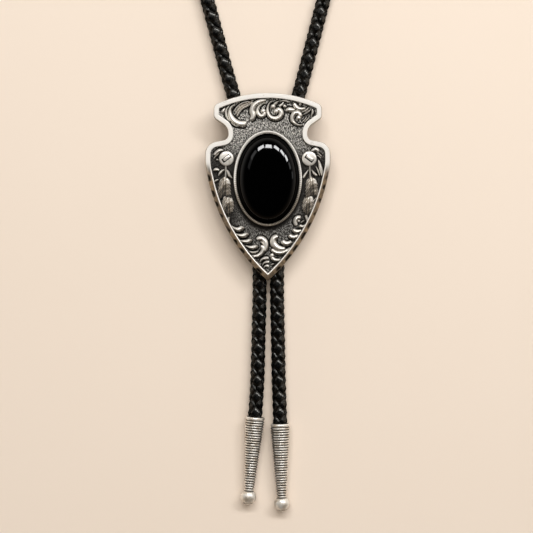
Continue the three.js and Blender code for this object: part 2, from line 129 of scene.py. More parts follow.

# The bore and its lip, from the floor to the mouth: radius, depth below the mouth and darkness, which
# paints shade inside the bore
BORE_SECTION = (
    (0, BORE_DEEP, 1), (BORE_RADIUS, BORE_DEEP, 1), (BORE_RADIUS, 0.3, 1),
    (BORE_RADIUS + 0.1, 0.04, 0.3), (BORE_RADIUS + 0.2, 0, 0),
)
LIP_ROW = 3

# One rib: how far along its pitch, and what share of the groove's depth is taken away
RIB_SECTION = ((0.06, 1), (0.16, 0.95), (0.28, 0.3), (0.45, 0.02), (0.62, 0), (0.78, 0.15), (0.92, 0.8))

# Painted darkness on a tip: shade in its bore and between the last rib and the ball, a reflection of
# the dark surroundings low on the ball, and a dark reflection down the flank that faces the other tip
BORE_EDGE = 0.05
BORE_DARK_FROM = 0.2
THROAT_DARK = 0.9
THROAT_FADE = 0.5
LIMB_DARK = 0.5
LIMB_AT = math.radians(140)
LIMB_WIDE = 0.25
FLANK_TURN = (0.45, 0.9)
RIBBED_FLANK_DARK = 0.75
PLAIN_FLANK_DARK = 0.4

NECK_ROUTE = (
    (-4.3, 0.15, IN_CLASP), (-4.35, 5.5, IN_CLASP), (-5.1, 10.5, IN_CLASP - 0.4),
    (-6.75, 16, ON_SURFACE + 0.35), (-8.9, 21.5, ON_SURFACE), (-11.4, 28.1, ON_SURFACE),
    (-20.2, 60, ON_SURFACE), (-34, 110, ON_SURFACE), (-47.7, 160, ON_SURFACE),
    (-60.1, 205, ON_SURFACE), (-69.6, 239.1, ON_SURFACE), (-71.7, 265, ON_SURFACE),
    (-64.5, 289.5, ON_SURFACE), (-48.9, 309.7, ON_SURFACE), (-27.2, 323.1, ON_SURFACE),
    (-2.1, 327.7, ON_SURFACE), (23, 323.1, ON_SURFACE), (44.7, 309.7, ON_SURFACE),
    (60.3, 289.5, ON_SURFACE), (67.5, 265, ON_SURFACE), (65.6, 240, ON_SURFACE),
    (56.5, 205, ON_SURFACE), (44.7, 160, ON_SURFACE), (31.6, 110, ON_SURFACE),
    (18.6, 60, ON_SURFACE), (10.4, 28.6, ON_SURFACE), (8.3, 21.8, ON_SURFACE),
    (6.5, 16, ON_SURFACE + 0.35), (5.05, 10.5, IN_CLASP - 0.4), (4.35, 5.5, IN_CLASP),
    (4.3, 0.15, IN_CLASP),
)
TAIL_ROUTES = {
    "left": (
        (-4.3, -0.15, IN_CLASP), (-4.3, -5.5, IN_CLASP), (-3.95, -12, IN_CLASP - 0.6),
        (-3.3, -20, ON_SURFACE + 0.2), (-2.75, -30, ON_SURFACE), (-2.75, -39.5, ON_SURFACE),
        (-3.1, -52.9, ON_SURFACE), (-3.45, -66.2, ON_SURFACE + 0.1), (-3.85, -73.5, TIP_MOUTH - 0.3),
    ),
    "right": (
        (4.3, -0.15, IN_CLASP), (4.3, -5.5, IN_CLASP), (4.05, -12, IN_CLASP - 0.6),
        (3.55, -20, ON_SURFACE + 0.2), (3.15, -30, ON_SURFACE), (3.1, -39.5, ON_SURFACE),
        (3.4, -52.9, ON_SURFACE), (3.65, -66.2, ON_SURFACE), (3.95, -75, TIP_MOUTH - 0.3),
    ),
}
TIP_PLACES = {
    "left": ((-4.25, -79.1, 3.3), (-0.0817, -0.9967)),
    "right": ((4.13, -81.3, 3.3), (0.0228, -0.9997)),
}

# The right half of the slide's outline from crown to tip: x, y and the radius of the round
OUTLINE_CORNERS = (
    (0, CROWN_ABOVE, 0),
    (8.40, CROWN_ABOVE, 41),
    (EAR_HALF, 24.41, 2.25),
    (EAR_HALF, 20.09, 1.95),
    (NOTCH_HALF, 16.84, 3.5),
    (NOTCH_HALF, 13.09, 1.7),
    (SHIELD_HALF, 11.66, 4.3),
    (SHIELD_HALF, 4.21, 15),
    (15.40, -18.89, 63),
    (0, -TIP_BELOW, 0),
)

# The rim's section from the back edge to the field. Inset and height where its top is flat, then
# inset and height where it is a bevel, and how much a chip takes away there.
RIM_SECTION = (
    (0.45, BACK, 0.45, BACK, 0.0),
    (0.12, 6.36, 0.12, 6.36, 0.0),
    (0.00, 6.60, 0.00, 6.60, 0.0),
    (0.00, 7.50, 0.00, 7.05, 0.2),
    (0.10, 8.30, 0.05, 7.35, 0.7),
    (0.22, 8.95, 0.20, 7.60, 1.0),
    (0.30, 9.12, 0.45, 7.90, 0.85),
    (0.40, RIM_TOP, 0.75, 8.25, 0.45),
    (0.90, 9.21, 1.05, 8.60, 0.15),
    (1.35, 9.21, 1.34, 8.95, 0.0),
    (1.60, RIM_TOP, 1.46, 9.16, 0.0),
    (1.72, 9.18, 1.58, RIM_TOP, 0.0),
    (1.80, 9.06, 1.76, 9.14, 0.0),
    (1.83, 8.60, 1.82, 8.70, 0.0),
    (RIM_WIDE, FIELD, RIM_WIDE, FIELD, 0.0),
)
BEVEL_ROWS = range(3, 10)
SIDE_ROWS = range(6)
INNER_ROWS = 3

# The cast strokes: form, greatest width, bead on the far end, and the middle line
STROKES = (
    # Over the crown, from the left ear to the right one
    ("swell", 0.95, 0, ((-14.12, 23.42), (-14.64, 22.59), (-15.11, 21.77))),
    ("crescent", 0.7, 0,
     ((-12.64, 24.19), (-13.58, 22.94), (-13.79, 21.41), (-13.35, 20.00), (-12.47, 18.77))),
    ("swell", 1.75, 0,
     ((-10.64, 24.52), (-11.93, 23.77), (-12.57, 22.36), (-12.24, 20.59), (-11.15, 19.10),
      (-9.65, 18.23), (-8.28, 18.07), (-6.91, 18.54))),
    ("crescent", 0.4, 0,
     ((-12.24, 18.70), (-11.11, 17.69), (-9.81, 17.17))),
    ("low", 1.6, 0,
     ((-5.21, 25.47), (-7.34, 24.71), (-9.46, 23.18), (-10.87, 21.18))),
    ("even", 0.55, 0,
     ((-6.27, 25.51), (-8.28, 24.95), (-10.05, 23.72), (-11.22, 22.00))),
    ("even", 0.5, 0,
     ((-4.74, 25.42), (-6.16, 24.36), (-8.28, 23.18), (-9.50, 21.88), (-10.35, 20.35))),
    ("sweep", 1.55, 0,
     ((-0.38, 25.89), (-2.15, 25.70), (-3.75, 24.95), (-4.79, 23.77), (-5.17, 22.36), (-4.79, 20.94),
      (-5.03, 20.00), (-5.97, 19.34))),
    ("swell", 1.15, 1.35,
     ((-0.45, 25.18), (-1.91, 24.67), (-3.05, 23.65), (-3.42, 22.36), (-2.97, 21.18), (-1.96, 20.66),
      (-1.21, 21.37), (-1.54, 22.31))),
    ("swell", 1.35, 1.35,
     ((1.67, 25.89), (0.56, 24.95), (-0.03, 23.53), (0.02, 21.88), (0.73, 20.52), (2.09, 19.90),
      (3.51, 20.12), (4.40, 21.13), (4.26, 22.36), (3.32, 22.87), (2.80, 22.24))),
    ("swell", 0.75, 1.25, ((3.86, 25.80), (2.52, 24.88), (1.76, 23.84))),
    ("swell", 0.8, 0, ((5.20, 25.47), (4.64, 24.48), (3.70, 23.86))),
    ("crescent", 0.65, 0, ((4.10, 25.70), (5.75, 25.75), (7.51, 25.18))),
    ("leaf", 0.85, 0, ((5.28, 24.59), (5.58, 24.01), (6.01, 23.42))),
    ("leaf", 1.45, 0, ((5.68, 22.40), (7.16, 22.83), (9.05, 22.54))),
    ("sweep", 1.25, 0,
     ((12.51, 23.49), (11.47, 23.02), (10.06, 23.20), (9.12, 24.01), (8.65, 25.14))),
    ("swell", 0.65, 0, ((9.64, 25.14), (10.81, 24.95), (10.46, 24.10))),
    ("swell", 1.35, 1.3,
     ((11.71, 17.88), (10.39, 17.69), (9.12, 18.16), (8.22, 19.10), (8.13, 20.35), (8.74, 21.53),
      (9.87, 21.84), (10.63, 20.99), (10.20, 20.12))),
    ("crescent", 0.55, 0, ((13.88, 23.96), (12.75, 22.64), (10.93, 21.88))),
    ("crescent", 0.5, 0, ((14.30, 23.02), (13.17, 21.93), (11.57, 21.18))),
    ("crescent", 0.65, 0, ((14.68, 23.25), (14.82, 21.88), (14.26, 20.52))),
    ("even", 0.4, 0, ((13.93, 20.75), (13.05, 19.53), (12.04, 18.63))),
    ("even", 0.35, 0, ((12.94, 20.59), (12.23, 19.53), (11.33, 18.70))),
    # Beside the left concho
    ("sweep", 1.05, 0,
     ((-14.51, 9.35), (-15.76, 9.42), (-16.84, 8.72), (-17.84, 7.58))),
    ("even", 0.4, 0, ((-16.08, 8.47), (-17.12, 7.49), (-17.92, 6.50))),
    ("leaf", 0.6, 0, ((-17.12, 6.35), (-16.27, 6.12))),
    ("leaf", 1, 0, ((-18.11, 2.60), (-17.03, 3.04), (-15.95, 2.66))),
    ("crescent", 0.65, 0, ((-17.92, -1.41), (-17.12, -0.66), (-16.18, -0.24))),
    ("crescent", 0.85, 0,
     ((-14.15, 3.05), (-15.05, 2.55), (-15.80, 1.75), (-16.35, 0.70))),
    ("crescent", 0.75, 0,
     ((-14.00, 3.05), (-13.25, 2.45), (-12.65, 1.05), (-11.60, -0.05))),
    # Beside the right concho
    ("sweep", 1.1, 0, ((14.27, 8.99), (15.94, 9.79), (16.96, 8.69))),
    ("even", 0.4, 0, ((16.30, 8.69), (17.05, 8.09), (17.85, 7.28))),
    ("even", 0.35, 0, ((16.30, 7.88), (16.96, 7.34), (17.64, 6.69))),
    ("leaf", 0.95, 0,
     ((16.66, 6.39), (17.26, 4.36), (17.73, 2.56), (17.97, 0.62))),
    ("crescent", 0.4, 0, ((15.76, 4.36), (16.60, 2.71), (17.26, 0.62))),
    ("swell", 0.85, 0, ((13.55, 3.10), (12.57, 1.67), (11.64, 0.03))),
    ("swell", 0.75, 0, ((14.45, 3.10), (15.17, 1.97), (16.21, 0.83))),
    ("even", 0.4, 0, ((15.05, -7.44), (15.64, -6.84), (16.30, -6.25))),
    # The quills of the lower feathers
    ("even", 0.75, 0, ((-12.86, -12.50), (-12.99, -13.82), (-13.07, -15.15))),
    ("even", 0.75, 0, ((12.48, -11.92), (12.96, -13.26), (13.37, -14.52))),
    # Low on the left
    ("swell", 1.35, 0,
     ((-12.16, -15.46), (-11.03, -16.42), (-9.77, -16.76), (-8.72, -16.36), (-8.29, -15.58))),
    ("swell", 1.3, 0,
     ((-11.08, -18.11), (-9.77, -18.61), (-8.39, -18.88), (-7.27, -18.49), (-6.94, -17.70))),
    ("swell", 1.25, 0,
     ((-9.63, -20.43), (-8.25, -20.67), (-6.94, -20.77), (-5.93, -20.40), (-5.69, -19.72))),
    ("swell", 1.2, 0,
     ((-7.49, -21.98), (-6.23, -22.59), (-5.02, -22.75), (-3.96, -22.37), (-3.84, -21.74))),
    ("crescent", 0.7, 0,
     ((-6.26, -24.00), (-4.88, -24.39), (-3.67, -24.17), (-3.00, -23.66))),
    ("sweep", 1.5, 0,
     ((-0.88, -24.17), (-0.64, -23.12), (-0.64, -21.98), (-0.98, -20.68), (-1.89, -19.82),
      (-2.95, -19.76), (-3.62, -20.40))),
    ("sweep", 1.15, 0,
     ((-5.36, -25.48), (-4.04, -25.62), (-2.83, -25.23), (-1.94, -24.39), (-1.52, -23.43),
      (-1.75, -22.55), (-2.49, -22.22))),
    ("crescent", 0.45, 0, ((-2.56, -20.77), (-1.82, -21.24), (-1.45, -21.95))),
    # Low on the right
    ("sweep", 1.75, 0,
     ((5.93, -23.04), (4.75, -23.16), (3.53, -22.87), (2.56, -22.25), (1.88, -21.36), (1.82, -20.26),
      (2.36, -19.42), (3.50, -19.08))),
    ("sweep", 1.2, 0,
     ((7.68, -22.79), (6.73, -23.49), (5.55, -24.17), (4.21, -24.50), (2.86, -24.39), (1.77, -23.83),
      (1.21, -23.04))),
    ("even", 0.35, 0, ((7.78, -23.33), (6.87, -24.00), (5.89, -24.50))),
    ("sweep", 1.1, 1.2,
     ((4.31, -26.53), (3.23, -26.91), (2.19, -26.79), (1.55, -26.19), (1.38, -25.41))),
    ("sweep", 1.45, 0,
     ((7.95, -20.57), (7.27, -21.14), (6.26, -21.47), (5.25, -21.10), (4.75, -20.30))),
    ("sweep", 1.25, 0,
     ((10.24, -18.38), (9.46, -19.08), (8.50, -19.35), (7.54, -19.05), (7.10, -18.28))),
    ("sweep", 1.2, 0,
     ((11.31, -16.93), (10.64, -17.27), (9.76, -17.47), (8.82, -17.20), (8.38, -16.46))),
    ("sweep", 1.35, 0,
     ((9.63, -15.80), (9.19, -14.71), (9.23, -13.61), (10.00, -12.85), (11.08, -12.89))),
    ("swell", 1, 0,
     ((12.59, -14.91), (11.99, -15.62), (11.11, -15.82), (10.34, -15.38))),
    ("leaf", 0.8, 0, ((9.90, -14.17), (10.24, -14.03), (10.64, -14.17))),
    ("even", 0.4, 0, ((10.94, -14.57), (11.48, -14.17), (11.99, -13.76))),
    # In the tip
    ("swell", 0.95, 0,
     ((-2.70, -27.92), (-2.22, -26.96), (-1.21, -26.36), (-0.25, -26.24), (0.37, -26.53))),
    ("swell", 0.8, 0,
     ((-1.89, -28.88), (-1.35, -28.01), (-0.42, -27.54), (0.67, -27.60))),
    ("swell", 0.85, 0,
     ((-1.35, -29.66), (-0.93, -29.02), (-0.25, -28.82), (0.44, -29.05))),
    ("leaf", 0.5, 0, ((1.04, -28.43), (1.55, -28.26), (2.05, -28.04))),
    ("even", 0.35, 0, ((5.35, -26.29), (3.45, -28.09), (1.48, -29.89))),
)

WELD = 1e-4
CREASE = math.radians(32)


def smooth_step(value, low, high):
    share = np.clip((value - low) / (high - low), 0, 1)
    return share * share * (3 - 2 * share)


def add_object(name, data):
    made = bpy.data.objects.new(name, data)
    bpy.context.scene.collection.objects.link(made)
    return made


def add_camera():
    lens = bpy.data.cameras.new("camera")
    lens.sensor_width = SENSOR_WIDE
    lens.lens = SENSOR_WIDE * CAMERA_AT[2] / SEEN_WIDE
    camera = add_object("camera", lens)
    camera.location = Vector(CAMERA_AT) * MM
    bpy.context.scene.camera = camera


def skin(bm, rows, marks=()):
    """A grid laid through rows of points, closed round each row, with its marks from 0 to 1."""
    rows = np.asarray(rows, float)
    rows = np.concatenate([rows, rows[:, :1]], axis=1)
    grid = bmesh.ops.create_grid(
        bm, x_segments=rows.shape[1] - 1, y_segments=rows.shape[0] - 1, size=1)
    for vert, place in zip(grid["verts"], rows.reshape(-1, 3)):
        vert.co = place
    for name, values in dict(marks).items():
        layer = bm.verts.layers.float[name]
        values = np.concatenate([values, values[:, :1]], axis=1)
        for vert, value in zip(grid["verts"], values.ravel()):
            vert[layer] = value
    bmesh.ops.remove_doubles(bm, verts=grid["verts"], dist=WELD)


def turned(bm, profile, steps, place=Matrix.Identity(4)):
    """A body turned about the Z axis from a profile of radius and height, then put in place."""
    before = set(bm.verts)
    line = [bm.verts.new((radius, 0, height)) for radius, height in profile]
    edges = [bm.edges.new(pair) for pair in zip(line, line[1:])]
    bmesh.ops.spin(bm, geom=line + edges, cent=(0, 0, 0), axis=(0, 0, 1), dvec=(0, 0, 0),
                   angle=2 * math.pi, steps=steps, use_merge=True)
    bmesh.ops.remove_doubles(bm, verts=[v for v in bm.verts if v not in before], dist=WELD)
    bmesh.ops.transform(bm, matrix=place, verts=[v for v in bm.verts if v not in before])


def new_piece(*marks):
    bm = bmesh.new()
    for name in marks:
        bm.verts.layers.float.new(name)
    return bm


def mark_depth(bm):
    """How deep each point of the relief lies, from 0 on top to 1 at the field, which darkens its foot
    as patina and painted shade.
    """
    layer = bm.verts.layers.float["patina_and_shade"]
    for vert in bm.verts:
        vert[layer] = min(1, max(0, 1 - (vert.co.z - FIELD) / RECESS_DEEP))


def paint_low_side_shade(bm):
    """Paints brown shade on the sides of the relief that turn down the picture and away from the light.
    """
    layer = bm.verts.layers.float["patina_and_shade"]
    bm.normal_update()
    for vert in bm.verts:
        outward = vert.normal if vert.normal.z >= 0 else -vert.normal
        lean = LOW_SIDE_TOWARDS[0] * outward.x + LOW_SIDE_TOWARDS[1] * outward.y
        brown = LOW_SIDE_SHADE_BROWN * float(smooth_step(lean, *LOW_SIDE_LEAN))
        vert[layer] = max(vert[layer], brown)


def finish_piece(bm, name, material, node):
    """Closes the mesh, takes it to metres and fits it to the frame in place of its CAD node."""
    open_edges = [edge for edge in bm.edges if edge.is_boundary]
    bmesh.ops.holes_fill(bm, edges=open_edges, sides=0)
    bmesh.ops.recalc_face_normals(bm, faces=bm.faces)
    bmesh.ops.scale(bm, vec=(MM, MM, MM), verts=bm.verts)
    for face in bm.faces:
        face.smooth = True
    for edge in bm.edges:
        edge.smooth = edge.calc_face_angle(0) < CREASE
    mesh = bpy.data.meshes.new(name)
    bm.to_mesh(mesh)
    bm.free()
    mesh.materials.append(material)
    piece = add_object(name, mesh)
    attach(piece, "root")
    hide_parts(node)
    return piece


def smooth_route(places):
    """Close points on a centripetal curve through the places, and how far along each one is."""
    given = np.array(places, float)
    given = np.vstack([2 * given[0] - given[1], given, 2 * given[-1] - given[-2]])
    knots = np.append(0, np.cumsum(np.linalg.norm(np.diff(given, axis=0), axis=1) ** 0.5))
    dense = []
    for i in range(1, len(given) - 2):
        at = np.linspace(knots[i], knots[i + 1], ROUTE_FINE, endpoint=False)[:, None]

        def between(a, b, low, high):
            return ((knots[high] - at) * a + (at - knots[low]) * b) / (knots[high] - knots[low])

        first = between(given[i - 1], given[i], i - 1, i)
        second = between(given[i], given[i + 1], i, i + 1)
        third = between(given[i + 1], given[i + 2], i + 1, i + 2)
        early = between(first, second, i - 1, i + 1)
        late = between(second, third, i, i + 2)
        dense.append(between(early, late, i, i + 1))
    points = np.vstack(dense + [given[-2:-1]])
    walked = np.append(0, np.cumsum(np.linalg.norm(np.diff(points, axis=0), axis=1)))
    return points, walked


def at_distance(walked, values, along):
    """Values known along a route, read off at other distances."""
    return np.stack([np.interp(along, walked, column) for column in values.T], axis=-1)


def laid_along(route, across, up, along):
    """Points of a straight cord, bent to follow its route."""
    points, walked = route
    heading = np.gradient(points, walked, axis=0)
    heading /= np.linalg.norm(heading, axis=1)[:, None]
    side = np.cross(heading, (0, 0, 1))
    side /= np.linalg.norm(side, axis=1)[:, None]
    lift = np.cross(side, heading)
    return (at_distance(walked, points, along)
            + at_distance(walked, side, along) * across[..., None]
            + at_distance(walked, lift, along) * up[..., None])


def lace_rows(route, way, lane):
    """One lace of the braid: it winds one way round the cord, and goes over one lace and under one."""
    long = route[1][-1]
    crossing = TURN_LONG / (2 * LACES_EACH_WAY)
    steps = math.ceil(long / crossing * STEPS_A_CROSSING)
    along = np.minimum(long, np.arange(steps + 1) * crossing / STEPS_A_CROSSING)[:, None]
    turn = way * 2 * math.pi * along / TURN_LONG + 2 * math.pi * lane / LACES_EACH_WAY + LACE_PHASE
    sway = np.clip(WAVE_CLIP * np.cos(math.pi * along / crossing), -1, 1)
    middle = LACE_MIDDLE + way * LACE_WAVE * np.sin(math.pi / 2 * sway)
    lean = math.atan(2 * math.pi * (LACE_MIDDLE + LACE_WAVE) / TURN_LONG)
    end = np.minimum(1, np.minimum(along, long - along))
    wide = LACE_SECTION[:, 0] * LACE_WIDE / 2 * end
    thick = LACE_SECTION[:, 1] * LACE_THICK / 2 * end
    radius = middle + thick
    turn = turn + wide * math.cos(lean) / (LACE_MIDDLE + LACE_WAVE)
    along = np.clip(along - way * wide * math.sin(lean), 0, long)
    rows = laid_along(route, radius * np.cos(turn), radius * np.sin(turn), along)
    rows[..., 2] = np.maximum(rows[..., 2], 0)
    return rows


def braided_cord(name, places, node):
    route = smooth_route(places)
    bm = new_piece()
    for way in (1, -1):
        for lane in range(LACES_EACH_WAY):
            skin(bm, lace_rows(route, way, lane))
    return finish_piece(bm, name, LEATHER, node), route


def tip_axis(side):
    _, heading = TIP_PLACES[side]
    fall = (BALL_RADIUS - TIP_MOUTH) / TIP_LONG
    level = math.sqrt(1 - fall * fall)
    return Vector((heading[0] * level, heading[1] * level, fall)).normalized()


def tip_profile():
    """Radius, depth below the mouth and darkness, from the bore's floor round to the ball's end; the
    darkness is painted shade in the bore and above the ball, a painted reflection low on the ball, and
    the brown-black of the grooves.
    """
    lean = math.asin(NECK_RADIUS / BALL_RADIUS)
    ribbed = TIP_LONG - BALL_RADIUS * math.cos(lean) - COLLAR_LONG
    ribs = round(ribbed / RIB_PITCH)
    pitch = ribbed / ribs
    profile = list(BORE_SECTION)
    for i in range(COLLAR_STEPS + 1):
        share = i / COLLAR_STEPS
        drop = COLLAR_ROUND * (2 * share - 1) ** 2
        depth = COLLAR_START + (COLLAR_LONG - COLLAR_SHORT) * share
        profile.append((TIP_MOUTH - drop, depth, 0.5 * share ** 6))
    for i in range(ribs):
        for share, drop in RIB_SECTION:
            radius = TIP_MOUTH + (NECK_RADIUS - TIP_MOUTH) * (i + share) / ribs
            profile.append((radius - RIB_DEEP * drop, COLLAR_LONG + (i + share) * pitch, drop))
    for i in range(1, BALL_STEPS + 1):
        turn = lean + (math.pi - lean) * i / BALL_STEPS
        limb = LIMB_DARK * math.exp(-((turn - LIMB_AT) / LIMB_WIDE) ** 2)
        dark = max(limb, THROAT_DARK - THROAT_FADE * i)
        profile.append((BALL_RADIUS * math.sin(turn), TIP_LONG - BALL_RADIUS * math.cos(turn), dark))
    profile[-1] = (0, TIP_LONG + BALL_RADIUS, 0)
    return profile


def cord_tip(side):
    """A turned tip, made upright with its mouth at the top, marked dark with painted shade, painted
    reflections and its grooves' brown-black, and then laid in place.
    """
    mouth, _ = TIP_PLACES[side]
    turn = Vector((0, 0, -1)).rotation_difference(tip_axis(side))
    place = Matrix.Translation(mouth) @ turn.to_matrix().to_4x4()
    bm = new_piece("patina_and_shade")
    layer = bm.verts.layers.float["patina_and_shade"]
    profile = tip_profile()
    turned(bm, [(radius, -depth) for radius, depth, _ in profile], TIP_STEPS)
    outside = np.array(profile[LIP_ROW:])
    # Painted shade: the bore is dark inside; elsewhere the darkness follows the profile
    for vert in bm.verts:
        near = math.hypot(vert.co.x, vert.co.y) < BORE_RADIUS + BORE_EDGE
        in_bore = near and BORE_DARK_FROM < -vert.co.z < BORE_DEEP + WELD
        vert[layer] = 1 if in_bore else float(np.interp(-vert.co.z, outside[:, 1], outside[:, 2]))
    # Painted reflection: the flank that faces the other tip is darkened, more along the ribs
    facing = 1 if side == "left" else -1
    bm.normal_update()
    for vert in bm.verts:
        ribbed = COLLAR_LONG < -vert.co.z < TIP_LONG - BALL_RADIUS
        dull = RIBBED_FLANK_DARK if ribbed else PLAIN_FLANK_DARK
        flank = smooth_step(facing * vert.normal.x, *FLANK_TURN) * dull
        vert[layer] = max(vert[layer], float(flank))
    bmesh.ops.transform(bm, matrix=place, verts=bm.verts)
    return finish_piece(bm, side + "_ribbed_tip", TIP_SILVER, side + "_tip")


def tail_places(side):
    mouth, _ = TIP_PLACES[side]
    end = Vector(mouth) + tip_axis(side) * (BORE_DEEP - SEAT_GAP)
    return TAIL_ROUTES[side] + (mouth, tuple(end))


def add_cords():
    braided_cord("neck_braid", NECK_ROUTE, "neck_cord")
    for side in TIP_PLACES:
        tip = cord_tip(side)
        braid, (points, walked) = braided_cord(side + "_tail_braid", tail_places(side), side + "_tail")
        walked[-1] * MM
        (points * MM).tolist()


def walk_to(points, target):
    start = points[-1]
    far = (target - start).length
    steps = max(1, round(far / OUTLINE_STEP)) if far > WELD else 0
    points.extend(start.lerp(target, k / steps) for k in range(1, steps + 1))


def rounded_line(corners):
    """Points along the corners, each rounded as far as its two sides allow."""
    at = [Vector(corner[:2]) for corner in corners]
    sides = [after - before for before, after in zip(at, at[1:])]
    turns = [math.atan2(a.cross(b), a.dot(b)) for a, b in zip(sides, sides[1:])]
    turns = [0.0] + turns + [0.0]
    reach = [corner[2] * abs(math.tan(turn / 2)) for corner, turn in zip(corners, turns)]
    room = [min(1, side.length / (a + b + WELD)) for side, a, b in zip(sides, reach, reach[1:])]
    points = [at[0]]
    for i in range(1, len(at) - 1):
        cut = reach[i] * min(room[i - 1], room[i])
        radius = cut / abs(math.tan(turns[i] / 2))
        into = sides[i - 1].normalized()
        walk_to(points, at[i] - into * cut)
        hub = points[-1] + Vector((-into.y, into.x)) * math.copysign(radius, turns[i])
        spoke = points[-1] - hub
        steps = max(math.ceil(abs(turns[i]) / ARC_STEP), round(abs(turns[i]) * radius / OUTLINE_STEP))
        for k in range(1, steps + 1):
            points.append(hub + Matrix.Rotation(turns[i] * k / steps, 2) @ spoke)
    walk_to(points, at[-1])
    return points


def shield_outline():
    """The whole outline, counter-clockwise from the tip, whose own point stands alone."""
    right = rounded_line(OUTLINE_CORNERS)[::-1]
    kept = right[:1] + [p for p in right[1:] if (p - right[0]).length > 1.5 * RIM_WIDE]
    left = [Vector((-p.x, p.y)) for p in reversed(kept[1:-1])]
    return np.array([tuple(p) for p in kept + left])


def inset_outline(outline, inset):
    """The outline moved inwards by a distance of its own at each point."""
    before = outline - np.roll(outline, 1, axis=0)
    before /= np.linalg.norm(before, axis=1)[:, None]
    after = np.roll(before, -1, axis=0)
    inward = (before + after)[:, ::-1] * (-1, 1)
    inward /= np.linalg.norm(inward, axis=1)[:, None]
    spread = np.abs(inward[:, 0] * before[:, 1] - inward[:, 1] * before[:, 0])
    return outline + inward * (inset / spread)[:, None]


def shield_plate():
    """The cast plate: its rim is flat above the shoulders, and a knapped bevel below them."""
    outline = shield_outline()
    walked = np.append(0, np.cumsum(np.linalg.norm(np.diff(outline, axis=0), axis=1)))
    from_tip = np.minimum(walked, walked[-1] - walked)
    bevel = smooth_step(BEVEL_FADE - outline[:, 1], 0, BEVEL_FADE)
    slow = SLOW_SWAY[0] * np.sin(SLOW_SWAY[1] * from_tip + outline[:, 0])
    fast = FAST_SWAY[0] * np.sin(FAST_SWAY[1] * from_tip)
    flakes = np.sin(2 * math.pi * from_tip / KNAP_PITCH + (slow + fast)) + KNAP_SHARE
    # The chips cut into the bevel, and are also painted dark as shade in their hollows
    chip = np.clip(flakes, 0, 1) ** KNAP_ROUND * bevel
    rows, patina_and_shade, slope, notch = [], [], [], []
    last = len(RIM_SECTION) - 1
    for i, (inset, height, low_inset, low_height, take) in enumerate(RIM_SECTION):
        taken = KNAP_DEEP * take * chip
        ring = inset_outline(outline, inset + (low_inset - inset) * bevel + KNAP_INWARD * taken)
        rows.append(np.column_stack([ring, height + (low_height - height) * bevel - taken]))
        # The rim darkens down its inner foot, as patina and painted shade
        patina_and_shade.append(np.full(len(outline), smooth_step(i, last - INNER_ROWS, last)))
        # The bevel mark also paints shade on the rim's outer side walls
        slope.append(np.maximum(bevel * (i in BEVEL_ROWS), SIDE_WALL_SHADE * (i in SIDE_ROWS)))
        notch.append(chip * take)
    marks = {"patina_and_shade": np.array(patina_and_shade), "bevel": np.array(slope), "chip": np.array(notch)}
    bm = new_piece(*marks)
    skin(bm, rows, marks)
    finish_piece(bm, "shield_plate", CAST_SILVER, "slide")


def rounded_end(share, part):
    """Rises in a quarter round over the first part of the length, and then stays at 1."""
    return np.sqrt(1 - np.clip(1 - share / part, 0, 1) ** 2)


# How wide a stroke is along its length, as a share of its greatest width
FORMS = {
    "crescent": lambda t: (0.22 + 0.78 * np.sin(np.pi * t) ** 0.7) * rounded_end(t, 0.06),
    "swell": lambda t: (0.3 + 0.7 * smooth_step(t, 0, 0.7)) * rounded_end(t, 0.05),
    "sweep": lambda t: (0.28 + 0.72 * np.sin(np.pi * (0.08 + 0.72 * t)) ** 0.9) * rounded_end(t, 0.05),
    "low": lambda t: 0.4 + 0.6 * np.sin(np.pi * t),
    "leaf": lambda t: np.sin(np.pi * (0.12 + 0.76 * t)) * rounded_end(t, 0.22),
    "even": lambda t: rounded_end(t, 0.06) * 0.97,
}

# A stroke across: shares of its half width and of its rise, or millimetres where it's under the field
STROKE_SECTION = ((-1, 0), (-0.92, 0.36), (-0.7, 0.64), (-0.36, 0.9), (-0.1, 1), (0.1, 1),
                  (0.36, 0.9), (0.7, 0.64), (0.92, 0.36), (1, 0), (1, -0.3), (-1, -0.3))
STROKE_SPREAD = 1.26
STROKE_STEP = 0.32
FEWEST_STATIONS = 12
END_ROUND = 0.1

# How high a stroke rises: at most, how that grows with its width, and how it follows the swell
RELIEF_RISE = 0.98
THIN_RISE = (0.5, 0.4)
SWELL_RISE = 0.35
LOW_SHARE = 0.28

# The black border round a stroke, partly patina and partly painted shade at its foot: how far it
# reaches beyond, and its section over the field
DARK_BORDER_WIDE = 0.46
DARK_BORDER_SECTION = ((-1, FIELD - 0.1), (-1, FIELD + 0.03), (1, FIELD + 0.03), (1, FIELD - 0.1))

# The ball on a stroke's end
BEAD_AT = FIELD + 0.25
BEAD_FLAT = 0.95


def lay_strip(bm, middle, right, half, section, chip):
    """A closed strip along a line, from how far across and how high each edge of it runs."""
    rows = []
    for across, height in section:
        place = middle[:, :2] + right * (half * across)[:, None]
        rows.append(np.column_stack([place, np.broadcast_to(height, len(middle))]))
    rows = np.swapaxes(np.array(rows), 0, 1)
    skin(bm, rows, {"chip": np.full(rows.shape[:2], chip)})


